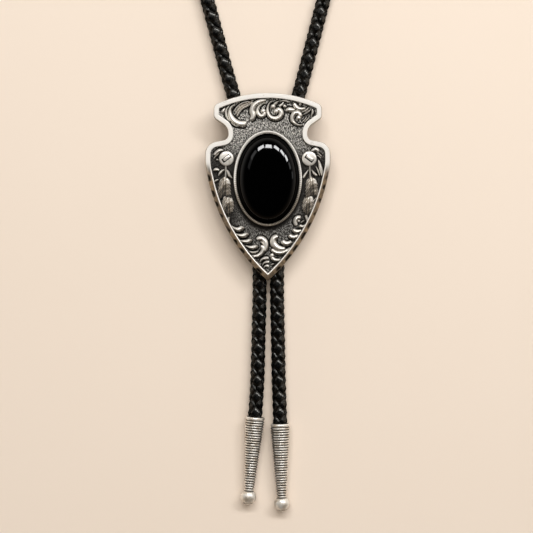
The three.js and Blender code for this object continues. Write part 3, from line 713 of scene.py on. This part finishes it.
def stroke(bm, form, wide, bead, line):
    """One cast stroke: a rounded ridge that swells and tapers along its line."""
    points, walked = smooth_route([(x, y, 0) for x, y in line])
    share = np.linspace(0, 1, max(FEWEST_STATIONS, round(walked[-1] / STROKE_STEP)))
    middle = at_distance(walked, points, share * walked[-1])
    heading = np.gradient(middle, axis=0)
    heading /= np.linalg.norm(heading, axis=1)[:, None]
    right = np.column_stack([heading[:, 1], -heading[:, 0]])
    swell = FORMS[form](share) * rounded_end(1 - share, END_ROUND)
    half = swell * wide * STROKE_SPREAD / 2
    rise = RELIEF_RISE * min(1, THIN_RISE[0] + THIN_RISE[1] * wide) * swell ** SWELL_RISE
    if form == "low":
        rise = rise * LOW_SHARE
    ridge = [(across, FIELD + np.where(lift > 0, rise * lift, lift)) for across, lift in STROKE_SECTION]
    lay_strip(bm, middle, right, half, ridge, 0.0)
    # A flat black strip round the stroke, patina and painted shade at its foot
    dark_border = half + DARK_BORDER_WIDE * rounded_end(np.minimum(share, 1 - share), END_ROUND)
    lay_strip(bm, middle, right, dark_border, DARK_BORDER_SECTION, 1.0)
    if bead:
        place = Matrix.Translation((*line[-1], BEAD_AT)) @ Matrix.Diagonal((1, 1, BEAD_FLAT, 1))
        bmesh.ops.create_uvsphere(bm, u_segments=16, v_segments=10, radius=bead * STROKE_SPREAD / 2,
                                  matrix=place)


def scrollwork():
    bm = new_piece("patina_and_shade", "chip")
    for values in STROKES:
        stroke(bm, *values)
    mark_depth(bm)
    paint_low_side_shade(bm)
    finish_piece(bm, "cast_scrolls", RELIEF_SILVER, "slide")


# The feathers: middle line from top to bottom, half widths along it, and rise
FEATHERS = (
    (((-14.2, 0.75), (-14.35, -2.2), (-14.5, -5.75)),
     (1.4, 2.0, 2.1, 2.1, 2.15, 2.25, 2.35, 2.4, 2.45, 2.35, 1.7), 1.1),
    (((-13.3, -5.0), (-13.1, -8.6), (-12.95, -12.2)),
     (1.2, 1.75, 2.05, 2.15, 2.1, 1.95, 1.75, 1.4, 1.0, 0.55, 0.15), 1.0),
)
FEATHER_ACROSS = 23
FEATHER_ALONG = 90
FEATHER_FOOT = FIELD - 0.3
MIRRORED_SHIFT = 0.2
EDGE_RIPPLES = 6
EDGE_RIPPLE_DEEP = 0.07
SWEPT_BACK = 0.7
BARBS = 11
BARB_SLANT = 0.5
BARB_RISE = 0.07
SHAFT_WIDE = 0.2
SHAFT_RISE = 0.2
CHANNEL_AT = 0.42
CHANNEL_WIDE = 0.16
CHANNEL_DEEP = 0.14
# Where a painted highlight runs along each vane's edge, as a share of the way out, and its width
PAINTED_EDGE_HIGHLIGHT = (0.82, 0.1)


def hump(value, middle, wide):
    return np.exp(-((value - middle) / wide) ** 2)


def feather_relief(share, across, half, rise):
    """How high a feather stands over the field and how dark it is, at each point along and across:
    darker towards the bottom, with painted highlights on the shaft and the vanes' edges, painted shade
    in the channel and at the foot, barb stripes and random blots.
    """
    down = share[:, None]
    far = np.abs(across)[None, :]
    barbs = np.sin(2 * math.pi * (BARBS * down - BARB_SLANT * far))
    shaft = hump(across * half, 0, SHAFT_WIDE)
    channel = hump(far * half, CHANNEL_AT, CHANNEL_WIDE)
    vane = np.sin(math.pi * far ** 0.8) ** 0.7
    lift = rise * (0.25 + 0.65 * vane) * (0.7 + 0.3 * np.sin(math.pi * down))
    fine = BARB_RISE * barbs * (1 - shaft) + SHAFT_RISE * shaft - CHANNEL_DEEP * channel
    lift = lift + fine * (1 - far ** 6)
    lift = lift * np.minimum(1, np.minimum(down, 1 - down) * 6) ** 0.5
    blots = np.sin(11 * down + 4 * across) * np.sin(7 * across + 23 * down)
    # The darkness paints highlights on the shaft and near the vanes' edges, and shade in the channel
    # and along the foot
    dark = 0.23 + 0.48 * down - 0.14 * barbs * far + 0.35 * channel - 0.1 * shaft
    dark = dark - 0.18 * hump(far, *PAINTED_EDGE_HIGHLIGHT)
    dark = dark + 0.7 * far ** 12 + 0.2 * blots
    return lift, np.clip(dark, 0, 1)


def feather(bm, side, line, half_widths, rise):
    """A feather with a raised shaft, a channel beside it and slanting barbs on both vanes."""
    points, walked = smooth_route([(-side * x + MIRRORED_SHIFT * max(side, 0), y, 0) for x, y in line])
    share = np.linspace(0, 1, FEATHER_ALONG)
    middle = at_distance(walked, points, share * walked[-1])
    half = np.interp(share, np.linspace(0, 1, len(half_widths)), half_widths)
    ripple = 1 + EDGE_RIPPLE_DEEP * np.sin(2 * math.pi * EDGE_RIPPLES * share + 1)
    half = (half * ripple)[:, None]
    across = np.sin(np.linspace(-1, 1, FEATHER_ACROSS) * math.pi / 2)
    lift, dark = feather_relief(share, across, half, rise)
    x = middle[:, :1] + across * half
    y = middle[:, 1:2] - SWEPT_BACK * np.abs(across) * half
    top = np.stack([x, y, FIELD + lift], axis=-1)
    foot = top[:, ::-1][:, [0, -1]] * (1, 1, 0) + (0, 0, FEATHER_FOOT)
    dark = np.concatenate([dark, np.ones_like(dark[:, :2])], axis=1)
    skin(bm, np.concatenate([top, foot], axis=1), {"patina_and_shade": dark})


def feathers():
    bm = new_piece("patina_and_shade")
    for side in (-1, 1):
        for values in FEATHERS:
            feather(bm, side, *values)
    paint_low_side_shade(bm)
    finish_piece(bm, "cast_feathers", RELIEF_SILVER, "slide")


# The conchos, with a bar that stands on a flat sheet painted dark as the shade of its slot, and the
# stem from each down to its feather
CONCHO_AT = (13.7, 6.65)
CONCHO_FOOT = FIELD - 0.3
CONCHO_PROFILE = ((0, CONCHO_FOOT), (2.4, CONCHO_FOOT), (2.4, 8.62), (2.33, 8.84), (2.16, 8.98),
                  (1.9, 9.04), (0, 9.06))
CONCHO_TILT = math.radians(37)
CONCHO_STEPS = 40
SLOT_SIZE = (3.1, 1.4, 0.05)
SLOT_AT = 9.055
SLOT_ROUND = 0.02
BAR_SIZE = (2.5, 0.92, 0.6)
BAR_AT = 9.2
BAR_ROUND = 0.2
# How far the bar sits off the middle of its dark sheet, so more painted shadow shows on one side
BAR_SHIFT = (0.1, 0.14)
STEM_WIDE = 0.4
STEM_LINE = ((13.85, 4.7), (13.92, 2.4), (14.05, -1.2))


def tilted_bar(bm, side, size, bevel, height, shift=(0, 0)):
    at = Matrix.Translation((side * CONCHO_AT[0] + shift[0], CONCHO_AT[1] + shift[1], height))
    place = at @ Matrix.Rotation(-side * CONCHO_TILT, 4, "Z")
    made = bmesh.ops.create_cube(bm, size=1, matrix=place @ Matrix.Diagonal((*size, 1)))
    edges = list({edge for vert in made["verts"] for edge in vert.link_edges})
    bmesh.ops.bevel(bm, geom=edges, offset=bevel, offset_type="OFFSET", segments=2, profile=0.5,
                    affect="EDGES", material=-1)


def conchos():
    discs = new_piece("patina_and_shade")
    slot_shade = new_piece("patina_and_shade", "chip")
    bars = new_piece("patina_and_shade", "chip")
    for side in (-1, 1):
        turned(discs, CONCHO_PROFILE, CONCHO_STEPS,
               Matrix.Translation((side * CONCHO_AT[0], CONCHO_AT[1], 0)))
        tilted_bar(slot_shade, side, SLOT_SIZE, SLOT_ROUND, SLOT_AT)
        tilted_bar(bars, side, BAR_SIZE, BAR_ROUND, BAR_AT, BAR_SHIFT)
        stroke(bars, "even", STEM_WIDE, 0, [(side * x, y) for x, y in STEM_LINE])
    mark_depth(discs)
    # The sheet under each bar is all painted shade
    for vert in slot_shade.verts:
        vert[slot_shade.verts.layers.float["patina_and_shade"]] = 1
        vert[slot_shade.verts.layers.float["chip"]] = 1
    finish_piece(discs, "concho_discs", RELIEF_SILVER, "slide")
    finish_piece(slot_shade, "concho_slot_shade", RELIEF_SILVER, "slide")
    finish_piece(bars, "concho_bars", RELIEF_SILVER, "slide")


# The bezel's section: how far outside the stone, the height, how much of the beading it takes and how
# dark it is, the darkness being patina and painted shade at its foot and down its inner slope
BEZEL_SECTION = (
    (1.02, 7.65, 0, 1), (1.0, 8.3, 0, 0.8), (0.98, 9.3, 0, 0.3), (0.95, 9.7, 0, 0),
    (0.88, 9.98, 0, 0), (0.76, 10.15, 0.5, 0.1), (0.64, BEZEL_TOP, 0.6, 0.15), (0.5, 10.15, 0.6, 0.15),
    (0.38, 10.05, 0.6, 0.2), (0.28, 9.9, 1, 0.3), (0.18, 9.84, 1, 0.6), (0.08, 9.7, 0.5, 1),
    (0.03, 9.0, 0, 1), (0.03, 7.65, 0, 1), (1.02, 7.65, 0, 1),
)
POINTS_A_BEAD = 4
BEAD_INWARD = 0.05
BEAD_DROP = 0.2
BEAD_HIGHLIGHT = 0.5
LOW_BEZEL_SHADE = 0.54
LOW_BEZEL_FADE = (-0.35, 0.7)


def bezel():
    """The wall round the stone, with a beaded crest, painted shade towards the slide's tip and painted
    highlights on the bead tops.
    """
    count = POINTS_A_BEAD * round(2 * math.pi * math.hypot(*STONE_HALF) / math.sqrt(2) / BEAD_PITCH)
    turn = np.linspace(0, 2 * math.pi, count, endpoint=False)
    line = np.column_stack([STONE_HALF[0] * np.cos(turn), STONE_HALF[1] * np.sin(turn)])
    outward = np.column_stack([np.cos(turn) / STONE_HALF[0], np.sin(turn) / STONE_HALF[1]])
    outward /= np.linalg.norm(outward, axis=1)[:, None]
    bead = 0.5 + 0.5 * np.cos(2 * math.pi * np.arange(count) / POINTS_A_BEAD)
    low = smooth_step(-np.sin(turn), *LOW_BEZEL_FADE)
    rows, dark = [], []
    for out, height, beaded, deep in BEZEL_SECTION:
        ring = line + outward * (out - BEAD_INWARD * beaded * bead)[:, None]
        rows.append(np.column_stack([ring, height - BEAD_DROP * beaded * bead]))
        # Painted light: shade over the lower half and highlights on the bead tops
        shade = deep + LOW_BEZEL_SHADE * low - BEAD_HIGHLIGHT * beaded * (1 - bead)
        dark.append(np.clip(shade, 0, 1))
    bm = new_piece("patina_and_shade")
    skin(bm, rows, {"patina_and_shade": np.array(dark)})
    finish_piece(bm, "beaded_bezel", CAST_SILVER, "slide")


# The stone's edge, from the middle of its flat foot: share of its half width, and height
DOME_WIDE = 0.925
DOME_FOOT = GIRDLE_TOP + 0.5
DOME_ROUND = 0.82
DOME_STEPS = 30
STONE_STEPS = 128
STONE_EDGE = (
    (0, STONE_FOOT), (0.97, STONE_FOOT), (1, STONE_FOOT + 0.2), (1, GIRDLE_TOP - 0.1),
    (0.995, GIRDLE_TOP), (0.94, GIRDLE_TOP + 0.32), (DOME_WIDE, DOME_FOOT),
)


def stone():
    """A high-domed oval with a narrow bevel round its girdle."""
    profile = list(STONE_EDGE)
    for i in range(1, DOME_STEPS):
        lift = i / DOME_STEPS * math.pi / 2
        height = DOME_FOOT + (STONE_TOP - DOME_FOOT) * math.sin(lift)
        profile.append((DOME_WIDE * math.cos(lift) ** DOME_ROUND, height))
    profile.append((0, STONE_TOP))
    bm = new_piece()
    turned(bm, profile, STONE_STEPS, Matrix.Diagonal((*STONE_HALF, 1, 1)))
    finish_piece(bm, "polished_stone", BLACK_STONE, "stone")


class Strand:
    """A value on its way through a material, which sums and products are written with."""

    def __init__(self, recipe, socket):
        self.recipe = recipe
        self.socket = socket

    def _math(self, operation, first, second, clamp=False):
        settings = {"operation": operation, "use_clamp": clamp}
        return self.recipe.node("Math", settings, {0: first, 1: second})

    def __add__(self, other):
        return self._math("ADD", self, other)

    def __sub__(self, other):
        return self._math("SUBTRACT", self, other)

    def __rsub__(self, other):
        return self._math("SUBTRACT", other, self)

    def __mul__(self, other):
        return self._math("MULTIPLY", self, other)

    def clamped(self):
        return self._math("ADD", self, 0, clamp=True)

    __radd__ = __add__
    __rmul__ = __mul__


class Recipe:
    """A node tree, written one node at a time."""

    def __init__(self, tree):
        self.tree = tree

    def node(self, kind, settings=None, inputs=None, output=0):
        made = self.tree.nodes.new("ShaderNode" + kind)
        for name, value in (settings or {}).items():
            setattr(made, name, value)
        for name, value in (inputs or {}).items():
            self.feed(made.inputs[name], value)
        return Strand(self, made.outputs[output])

    def feed(self, socket, value):
        if isinstance(value, Strand):
            self.tree.links.new(value.socket, socket)
        elif socket.type == "RGBA":
            socket.default_value = (*value, 1)
        else:
            socket.default_value = value

    def mix(self, share, first, second):
        return self.node("Mix", {"data_type": "RGBA"}, {0: share, 6: first, 7: second}, output=2)

    def place(self):
        return self.node("TexCoord", output="Object")

    def mark(self, name):
        return self.node("Attribute", {"attribute_name": name}, output="Fac")

    def noise(self, size, detail=2, stretch=(1, 1, 1)):
        """Soft noise whose blots are about size millimetres across."""
        place = self.node("Mapping", {}, {"Vector": self.place(), "Scale": stretch})
        inputs = {"Vector": place, "Scale": 1 / (size * MM), "Detail": detail}
        return self.node("TexNoise", {}, inputs)

    def pits(self, size, smoothness=0.2):
        """Distance from the middles of cells about size millimetres across."""
        settings = {"feature": "SMOOTH_F1"}
        inputs = {"Vector": self.place(), "Scale": 1 / (size * MM), "Smoothness": smoothness}
        return self.node("TexVoronoi", settings, inputs, output="Distance")

    def between(self, value, low, high):
        inputs = {"Value": value, "From Min": low, "From Max": high}
        return self.node("MapRange", {"interpolation_type": "SMOOTHSTEP"}, inputs)

    def bump(self, height, deep, strength=1.0):
        """A relief whose full height is deep millimetres."""
        return self.node("Bump", {}, {"Height": height, "Distance": deep * MM, "Strength": strength})


def new_material(name, **steady):
    """A material whose steady values sit on the shader's own sockets, and its recipe."""
    material = bpy.data.materials.new(name)
    material.use_nodes = True
    shader = material.node_tree.nodes["Principled BSDF"]
    recipe = Recipe(material.node_tree)
    for socket, value in steady.items():
        recipe.feed(shader.inputs[socket.replace("_", " ")], value)
    return material, recipe, shader.inputs


# Tones of the metals, the leather and the paper
WHITE_SILVER = (0.97, 0.94, 0.89)
RELIEF_WHITE = (0.95, 0.91, 0.84)
# Warm brown for random stains, for patina in the hollows, and for painted shade on the sides turned
# from the light
WARM_TARNISH_AND_SHADE = (0.3, 0.235, 0.16)
# Browns painted on the bevel as a reflection of the darker room, and on the rim's side walls as shade
BEVEL_REFLECTION_BROWNS = (0.045, 0.03, 0.014), (0.36, 0.265, 0.15)
# Near black painted as shade in the chips and the concho slots, and as patina and shade in the borders
# round the strokes
PAINTED_SHADE_BROWN = (0.02, 0.013, 0.008)
OXIDE = (0.018, 0.016, 0.014)
LIGHTER_OXIDE = (0.05, 0.047, 0.042)
STIPPLE_BRIGHT = (0.95, 0.92, 0.86)
STONE_BLACKS = (0.012, 0.012, 0.012), (0.036, 0.036, 0.036)
LEATHER_BLACKS = (0.045, 0.044, 0.041), (0.1, 0.098, 0.092)
LEATHER_SHEEN = (0.05, 0.05, 0.05)
TIP_TONES = (0.9, 0.86, 0.79), (0.6, 0.51, 0.4)
GROOVE_AND_SHADE_BROWN = (0.022, 0.014, 0.008)
STEEL_TONES = (0.36, 0.35, 0.33), (0.56, 0.55, 0.52)
PAPER_TONES = (0.86, 0.74, 0.625), (0.88, 0.765, 0.66)

# Where the field is lighter, partly as painted light from above: in millimetres up from the slide's
# middle and aside from it, and the reach of the painted shadow round the bezel as a multiple of the
# stone's size
DIMMEST_FIELD = 0.38
ABOVE_STONE = (2, 14)
BESIDE_STONE = (9, 12)
OVER_SHOULDERS = (6, 12)
BEZEL_SHADOW_REACH = (1.1, 1.24)
HATCH_LINES = 74
HATCH_SLANT = 16
HATCH_LONG = 18


def from_stone(r):
    """How far out a place lies, as a multiple of the stone's own half widths."""
    shares = (1 / (STONE_HALF[0] * MM), 1 / (STONE_HALF[1] * MM), 0)
    place = r.node("Mapping", {}, {"Vector": r.place(), "Scale": shares})
    return r.node("VectorMath", {"operation": "LENGTH"}, {0: place}, output="Value")


def stone_hatch(r):
    """Fine streaks that fan out from the stone."""
    across = r.node("SeparateXYZ", {}, {"Vector": r.place()}, output="X")
    up = r.node("SeparateXYZ", {}, {"Vector": r.place()}, output="Y")
    turn = r.node("Math", {"operation": "ARCTAN2"}, {0: across, 1: up})
    slanted = turn * HATCH_LINES + from_stone(r) * HATCH_SLANT
    place = r.node("CombineXYZ", {}, {"X": slanted, "Y": from_stone(r) * HATCH_LONG})
    return r.node("TexNoise", {}, {"Vector": place, "Scale": 1.0, "Detail": 1.0})


def field_brightness(r):
    """How bright the stippled field is: most above the stone, least beside and below it, partly painted
    light from above, and dark in a painted shadow round the bezel.
    """
    up = r.node("SeparateXYZ", {}, {"Vector": r.place()}, output="Y") * (1 / MM)
    sizes = r.node("VectorMath", {"operation": "ABSOLUTE"}, {0: r.place()})
    aside = r.node("SeparateXYZ", {}, {"Vector": sizes}, output="X") * (1 / MM)
    high = r.between(up, *ABOVE_STONE)
    beside = r.between(aside, *BESIDE_STONE) * (1 - r.between(up, *OVER_SHOULDERS))
    # Painted shadow: the field goes dark close round the bezel, least so above the stone
    clear_of_bezel_shadow = r.between(from_stone(r), *BEZEL_SHADOW_REACH) + high * 0.7
    return (DIMMEST_FIELD + (1 - DIMMEST_FIELD) * high) * (1 - beside * 0.8) * clear_of_bezel_shadow.clamped()


def cast_silver(name, metallic, white):
    """Satin cast silver, blackened where it lies deep as patina and painted shade, browned as painted
    shade on sides turned from the light, with a hammered bevel painted brown as a reflection of the
    darker room and chips painted dark as shade.
    """
    material, r, inputs = new_material(name, Specular_IOR_Level=0.25)
    patina_and_shade = r.mark("patina_and_shade")
    bevel = r.mark("bevel")
    chip = r.mark("chip")
    cloud = r.noise(2.2, 3)
    grain = r.noise(0.16, 3)
    dots = 1 - r.between(r.pits(0.46), 0.12, 0.5)
    deep = r.between(patina_and_shade + (cloud - 0.5) * 0.25, 0.25, 0.85)
    stained = r.between(cloud + (grain - 0.5) * 0.3, 0.62, 0.8) * 0.3
    clean = r.mix(stained, white, WARM_TARNISH_AND_SHADE)
    # Brown where the mark is high: patina in the hollows, and painted shade on the sides turned from
    # the light
    clean = r.mix(r.between(patina_and_shade, 0.05, 0.5) * 0.85, clean, WARM_TARNISH_AND_SHADE)
    # Painted brown: a reflection of the darker room on the bevel, and shade on the rim's outer side
    # walls
    brown = r.mix(r.between(grain + cloud * 0.6, 0.62, 1.08), *BEVEL_REFLECTION_BROWNS)
    clean = r.mix((bevel * 0.93).clamped(), clean, brown)
    # Painted shade: chips, the borders round the strokes and the concho slots go near black
    clean = r.mix((chip * 0.95).clamped(), clean, PAINTED_SHADE_BROWN)
    # Painted light in part: the field is lighter above the stone, darker beside and below it, and dark
    # in a painted shadow round the bezel
    worn = field_brightness(r)
    hatch = r.between(stone_hatch(r), 0.48, 0.57)
    stipple = (dots * r.between(grain, 0.35, 0.6) * 0.6 + hatch * 0.75).clamped()
    floor = r.mix(worn * (1 - chip), OXIDE, LIGHTER_OXIDE)
    stippled = r.mix(stipple * worn * (1 - chip), floor, STIPPLE_BRIGHT)
    r.feed(inputs["Base Color"], r.mix(deep, clean, stippled))
    r.feed(inputs["Metallic"], bevel * (0.9 - metallic) + metallic)
    r.feed(inputs["Roughness"], 0.33 + deep * 0.14 + (grain - 0.5) * 0.14)
    height = grain * 0.14 + (dots + hatch) * deep
    r.feed(inputs["Normal"], r.bump(height, 0.16))
    return material


def black_stone():
    """Black polish that mirrors a little all over, and less towards its steep foot, where the weaker
    mirror is painted to darken the reflection.
    """
    material, r, inputs = new_material("black_stone", Metallic=1.0, Specular_Tint=(0, 0, 0))
    height = r.node("SeparateXYZ", {}, {"Vector": r.place()}, output="Z") * (1 / MM)
    # Painted reflection: the stone mirrors less low down, so its steep foot reads darker
    r.feed(inputs["Base Color"], r.mix(r.between(height, 9.8, 12), *STONE_BLACKS))
    haze = r.noise(3.0, 2)
    r.feed(inputs["Roughness"], 0.03 + haze * 0.035)
    return material


def leather():
    """Glossy black leather laces, worn a little dull between fine creases."""
    material, r, inputs = new_material("braided_leather", Metallic=1.0, Specular_Tint=LEATHER_SHEEN)
    pores = r.pits(0.28, 0.4)
    crease = r.noise(0.5, 4)
    worn = r.between(crease, 0.4, 0.75)
    r.feed(inputs["Base Color"], r.mix(worn, *LEATHER_BLACKS))
    r.feed(inputs["Roughness"], 0.21 + crease * 0.15)
    r.feed(inputs["Normal"], r.bump(pores * 0.4 + crease, 0.018))
    return material


def tip_silver():
    """Ribbed silver: bright on the ribs and the ball, brown-black down in the grooves and where shade
    and reflections are painted.
    """
    material, r, inputs = new_material("tip_silver", Metallic=0.62)
    groove_and_shade = r.mark("patina_and_shade")
    cloud = r.noise(1.6, 3)
    grain = r.noise(0.14, 3)
    tone = r.mix(r.between(cloud, 0.4, 0.75), *TIP_TONES)
    deep = r.between(groove_and_shade + (cloud - 0.5) * 0.25, 0.15, 0.75)
    r.feed(inputs["Base Color"], r.mix(deep, tone, GROOVE_AND_SHADE_BROWN))
    r.feed(inputs["Roughness"], 0.34 + grain * 0.16 + deep * 0.2)
    r.feed(inputs["Normal"], r.bump(grain, 0.025))
    return material


def clasp_steel():
    material, r, inputs = new_material("clasp_steel", Metallic=1.0)
    brushed = r.noise(0.15, 3, (1, 0.05, 1))
    r.feed(inputs["Base Color"], r.mix(brushed, *STEEL_TONES))
    r.feed(inputs["Roughness"], 0.32 + brushed * 0.2)
    r.feed(inputs["Normal"], r.bump(brushed, 0.01))
    return material


def paper():
    material, r, inputs = new_material("pale_paper", Specular_IOR_Level=0.15, Roughness=0.9)
    tooth = r.noise(0.8, 4)
    cloud = r.noise(60, 2)
    r.feed(inputs["Base Color"], r.mix(cloud * 0.5 + tooth * 0.2, *PAPER_TONES))
    r.feed(inputs["Normal"], r.bump(tooth, 0.015))
    return material


LEATHER = leather()
TIP_SILVER = tip_silver()
CAST_SILVER = cast_silver("cast_silver", 0.3, WHITE_SILVER)
RELIEF_SILVER = cast_silver("relief_silver", 0.62, RELIEF_WHITE)
BLACK_STONE = black_stone()

PAPER_HALF = 2.0


def add_floor():
    bm = bmesh.new()
    bmesh.ops.create_grid(bm, x_segments=1, y_segments=1, size=PAPER_HALF)
    mesh = bpy.data.meshes.new("paper")
    bm.to_mesh(mesh)
    bm.free()
    mesh.materials.append(paper())
    add_object("paper", mesh)


# The window panes that light the tie: bearing from +X, height over the horizon, width in metres,
# and brightness as a share of the full glow
PANES = (
    (152, 54, 0.19, 0.015), (136, 52, 0.19, 0.05),
    (112, 53, 0.2, 0.9), (87.3, 54.5, 0.205, 1), (62.2, 50.7, 0.175, 1), (44.7, 47, 0.14, 1),
    (32.3, 43.3, 0.125, 1), (19.5, 39, 0.12, 0.06), (7, 30, 0.12, 0.04),
)
PANE_TALL = 0.15
PANE_FAR = 1.0
PANE_GLOW = 65

# The soft light from straight above: distance and width in metres, power and tint
SOFT_FILL = (1.2, 1.1, 6.15)
FILL_TINT = (1, 0.93, 0.84)

# The room round the tie: brown towards -Y, pale towards +Y, and black overhead
ROOM_TONES = (0.2, 0.14, 0.09), (0.75, 0.71, 0.66)
CEILING = (0.012, 0.012, 0.012)


def add_light(name, bearing, rise, far, size, power, tint=(1, 1, 1)):
    light = bpy.data.lights.new(name, "AREA")
    light.shape = "RECTANGLE"
    light.size, light.size_y = size
    light.energy = power
    light.color = tint
    lamp = add_object(name, light)
    bearing, rise = math.radians(bearing), math.radians(rise)
    level = math.cos(rise)
    towards = Vector((level * math.cos(bearing), level * math.sin(bearing), math.sin(rise)))
    lamp.location = towards * far
    lamp.rotation_euler = towards.to_track_quat("Z", "Y").to_euler()
    return lamp


def add_lights():
    for number, (bearing, rise, wide, share) in enumerate(PANES, 1):
        power = share * PANE_GLOW * wide * PANE_TALL
        add_light("pane_%d" % number, bearing, rise, PANE_FAR, (wide, PANE_TALL), power)
    far, wide, power = SOFT_FILL
    fill = add_light("soft_fill", 90, 90, far, (wide, wide), power, FILL_TINT)
    fill.visible_glossy = False
    world = bpy.data.worlds.new("room")
    bpy.context.scene.world = world
    world.use_nodes = True
    r = Recipe(world.node_tree)
    view = r.node("TexCoord", output="Generated")
    up = r.node("SeparateXYZ", {}, {"Vector": view}, output="Z")
    away = r.node("SeparateXYZ", {}, {"Vector": view}, output="Y")
    horizon = r.mix(r.between(away, -0.7, 0.4), *ROOM_TONES)
    background = world.node_tree.nodes["Background"]
    r.feed(background.inputs["Color"], r.mix(r.between(up, 0.02, 0.7), horizon, CEILING))
    background.inputs["Strength"].default_value = 1.0


bpy.context.scene.view_settings.view_transform = "Standard"
add_camera()
add_cords()
add_floor()
add_lights()
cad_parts["back_clasp"].data.materials.clear()
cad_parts["back_clasp"].data.materials.append(clasp_steel())
shield_plate()
scrollwork()
feathers()
conchos()
bezel()
stone()
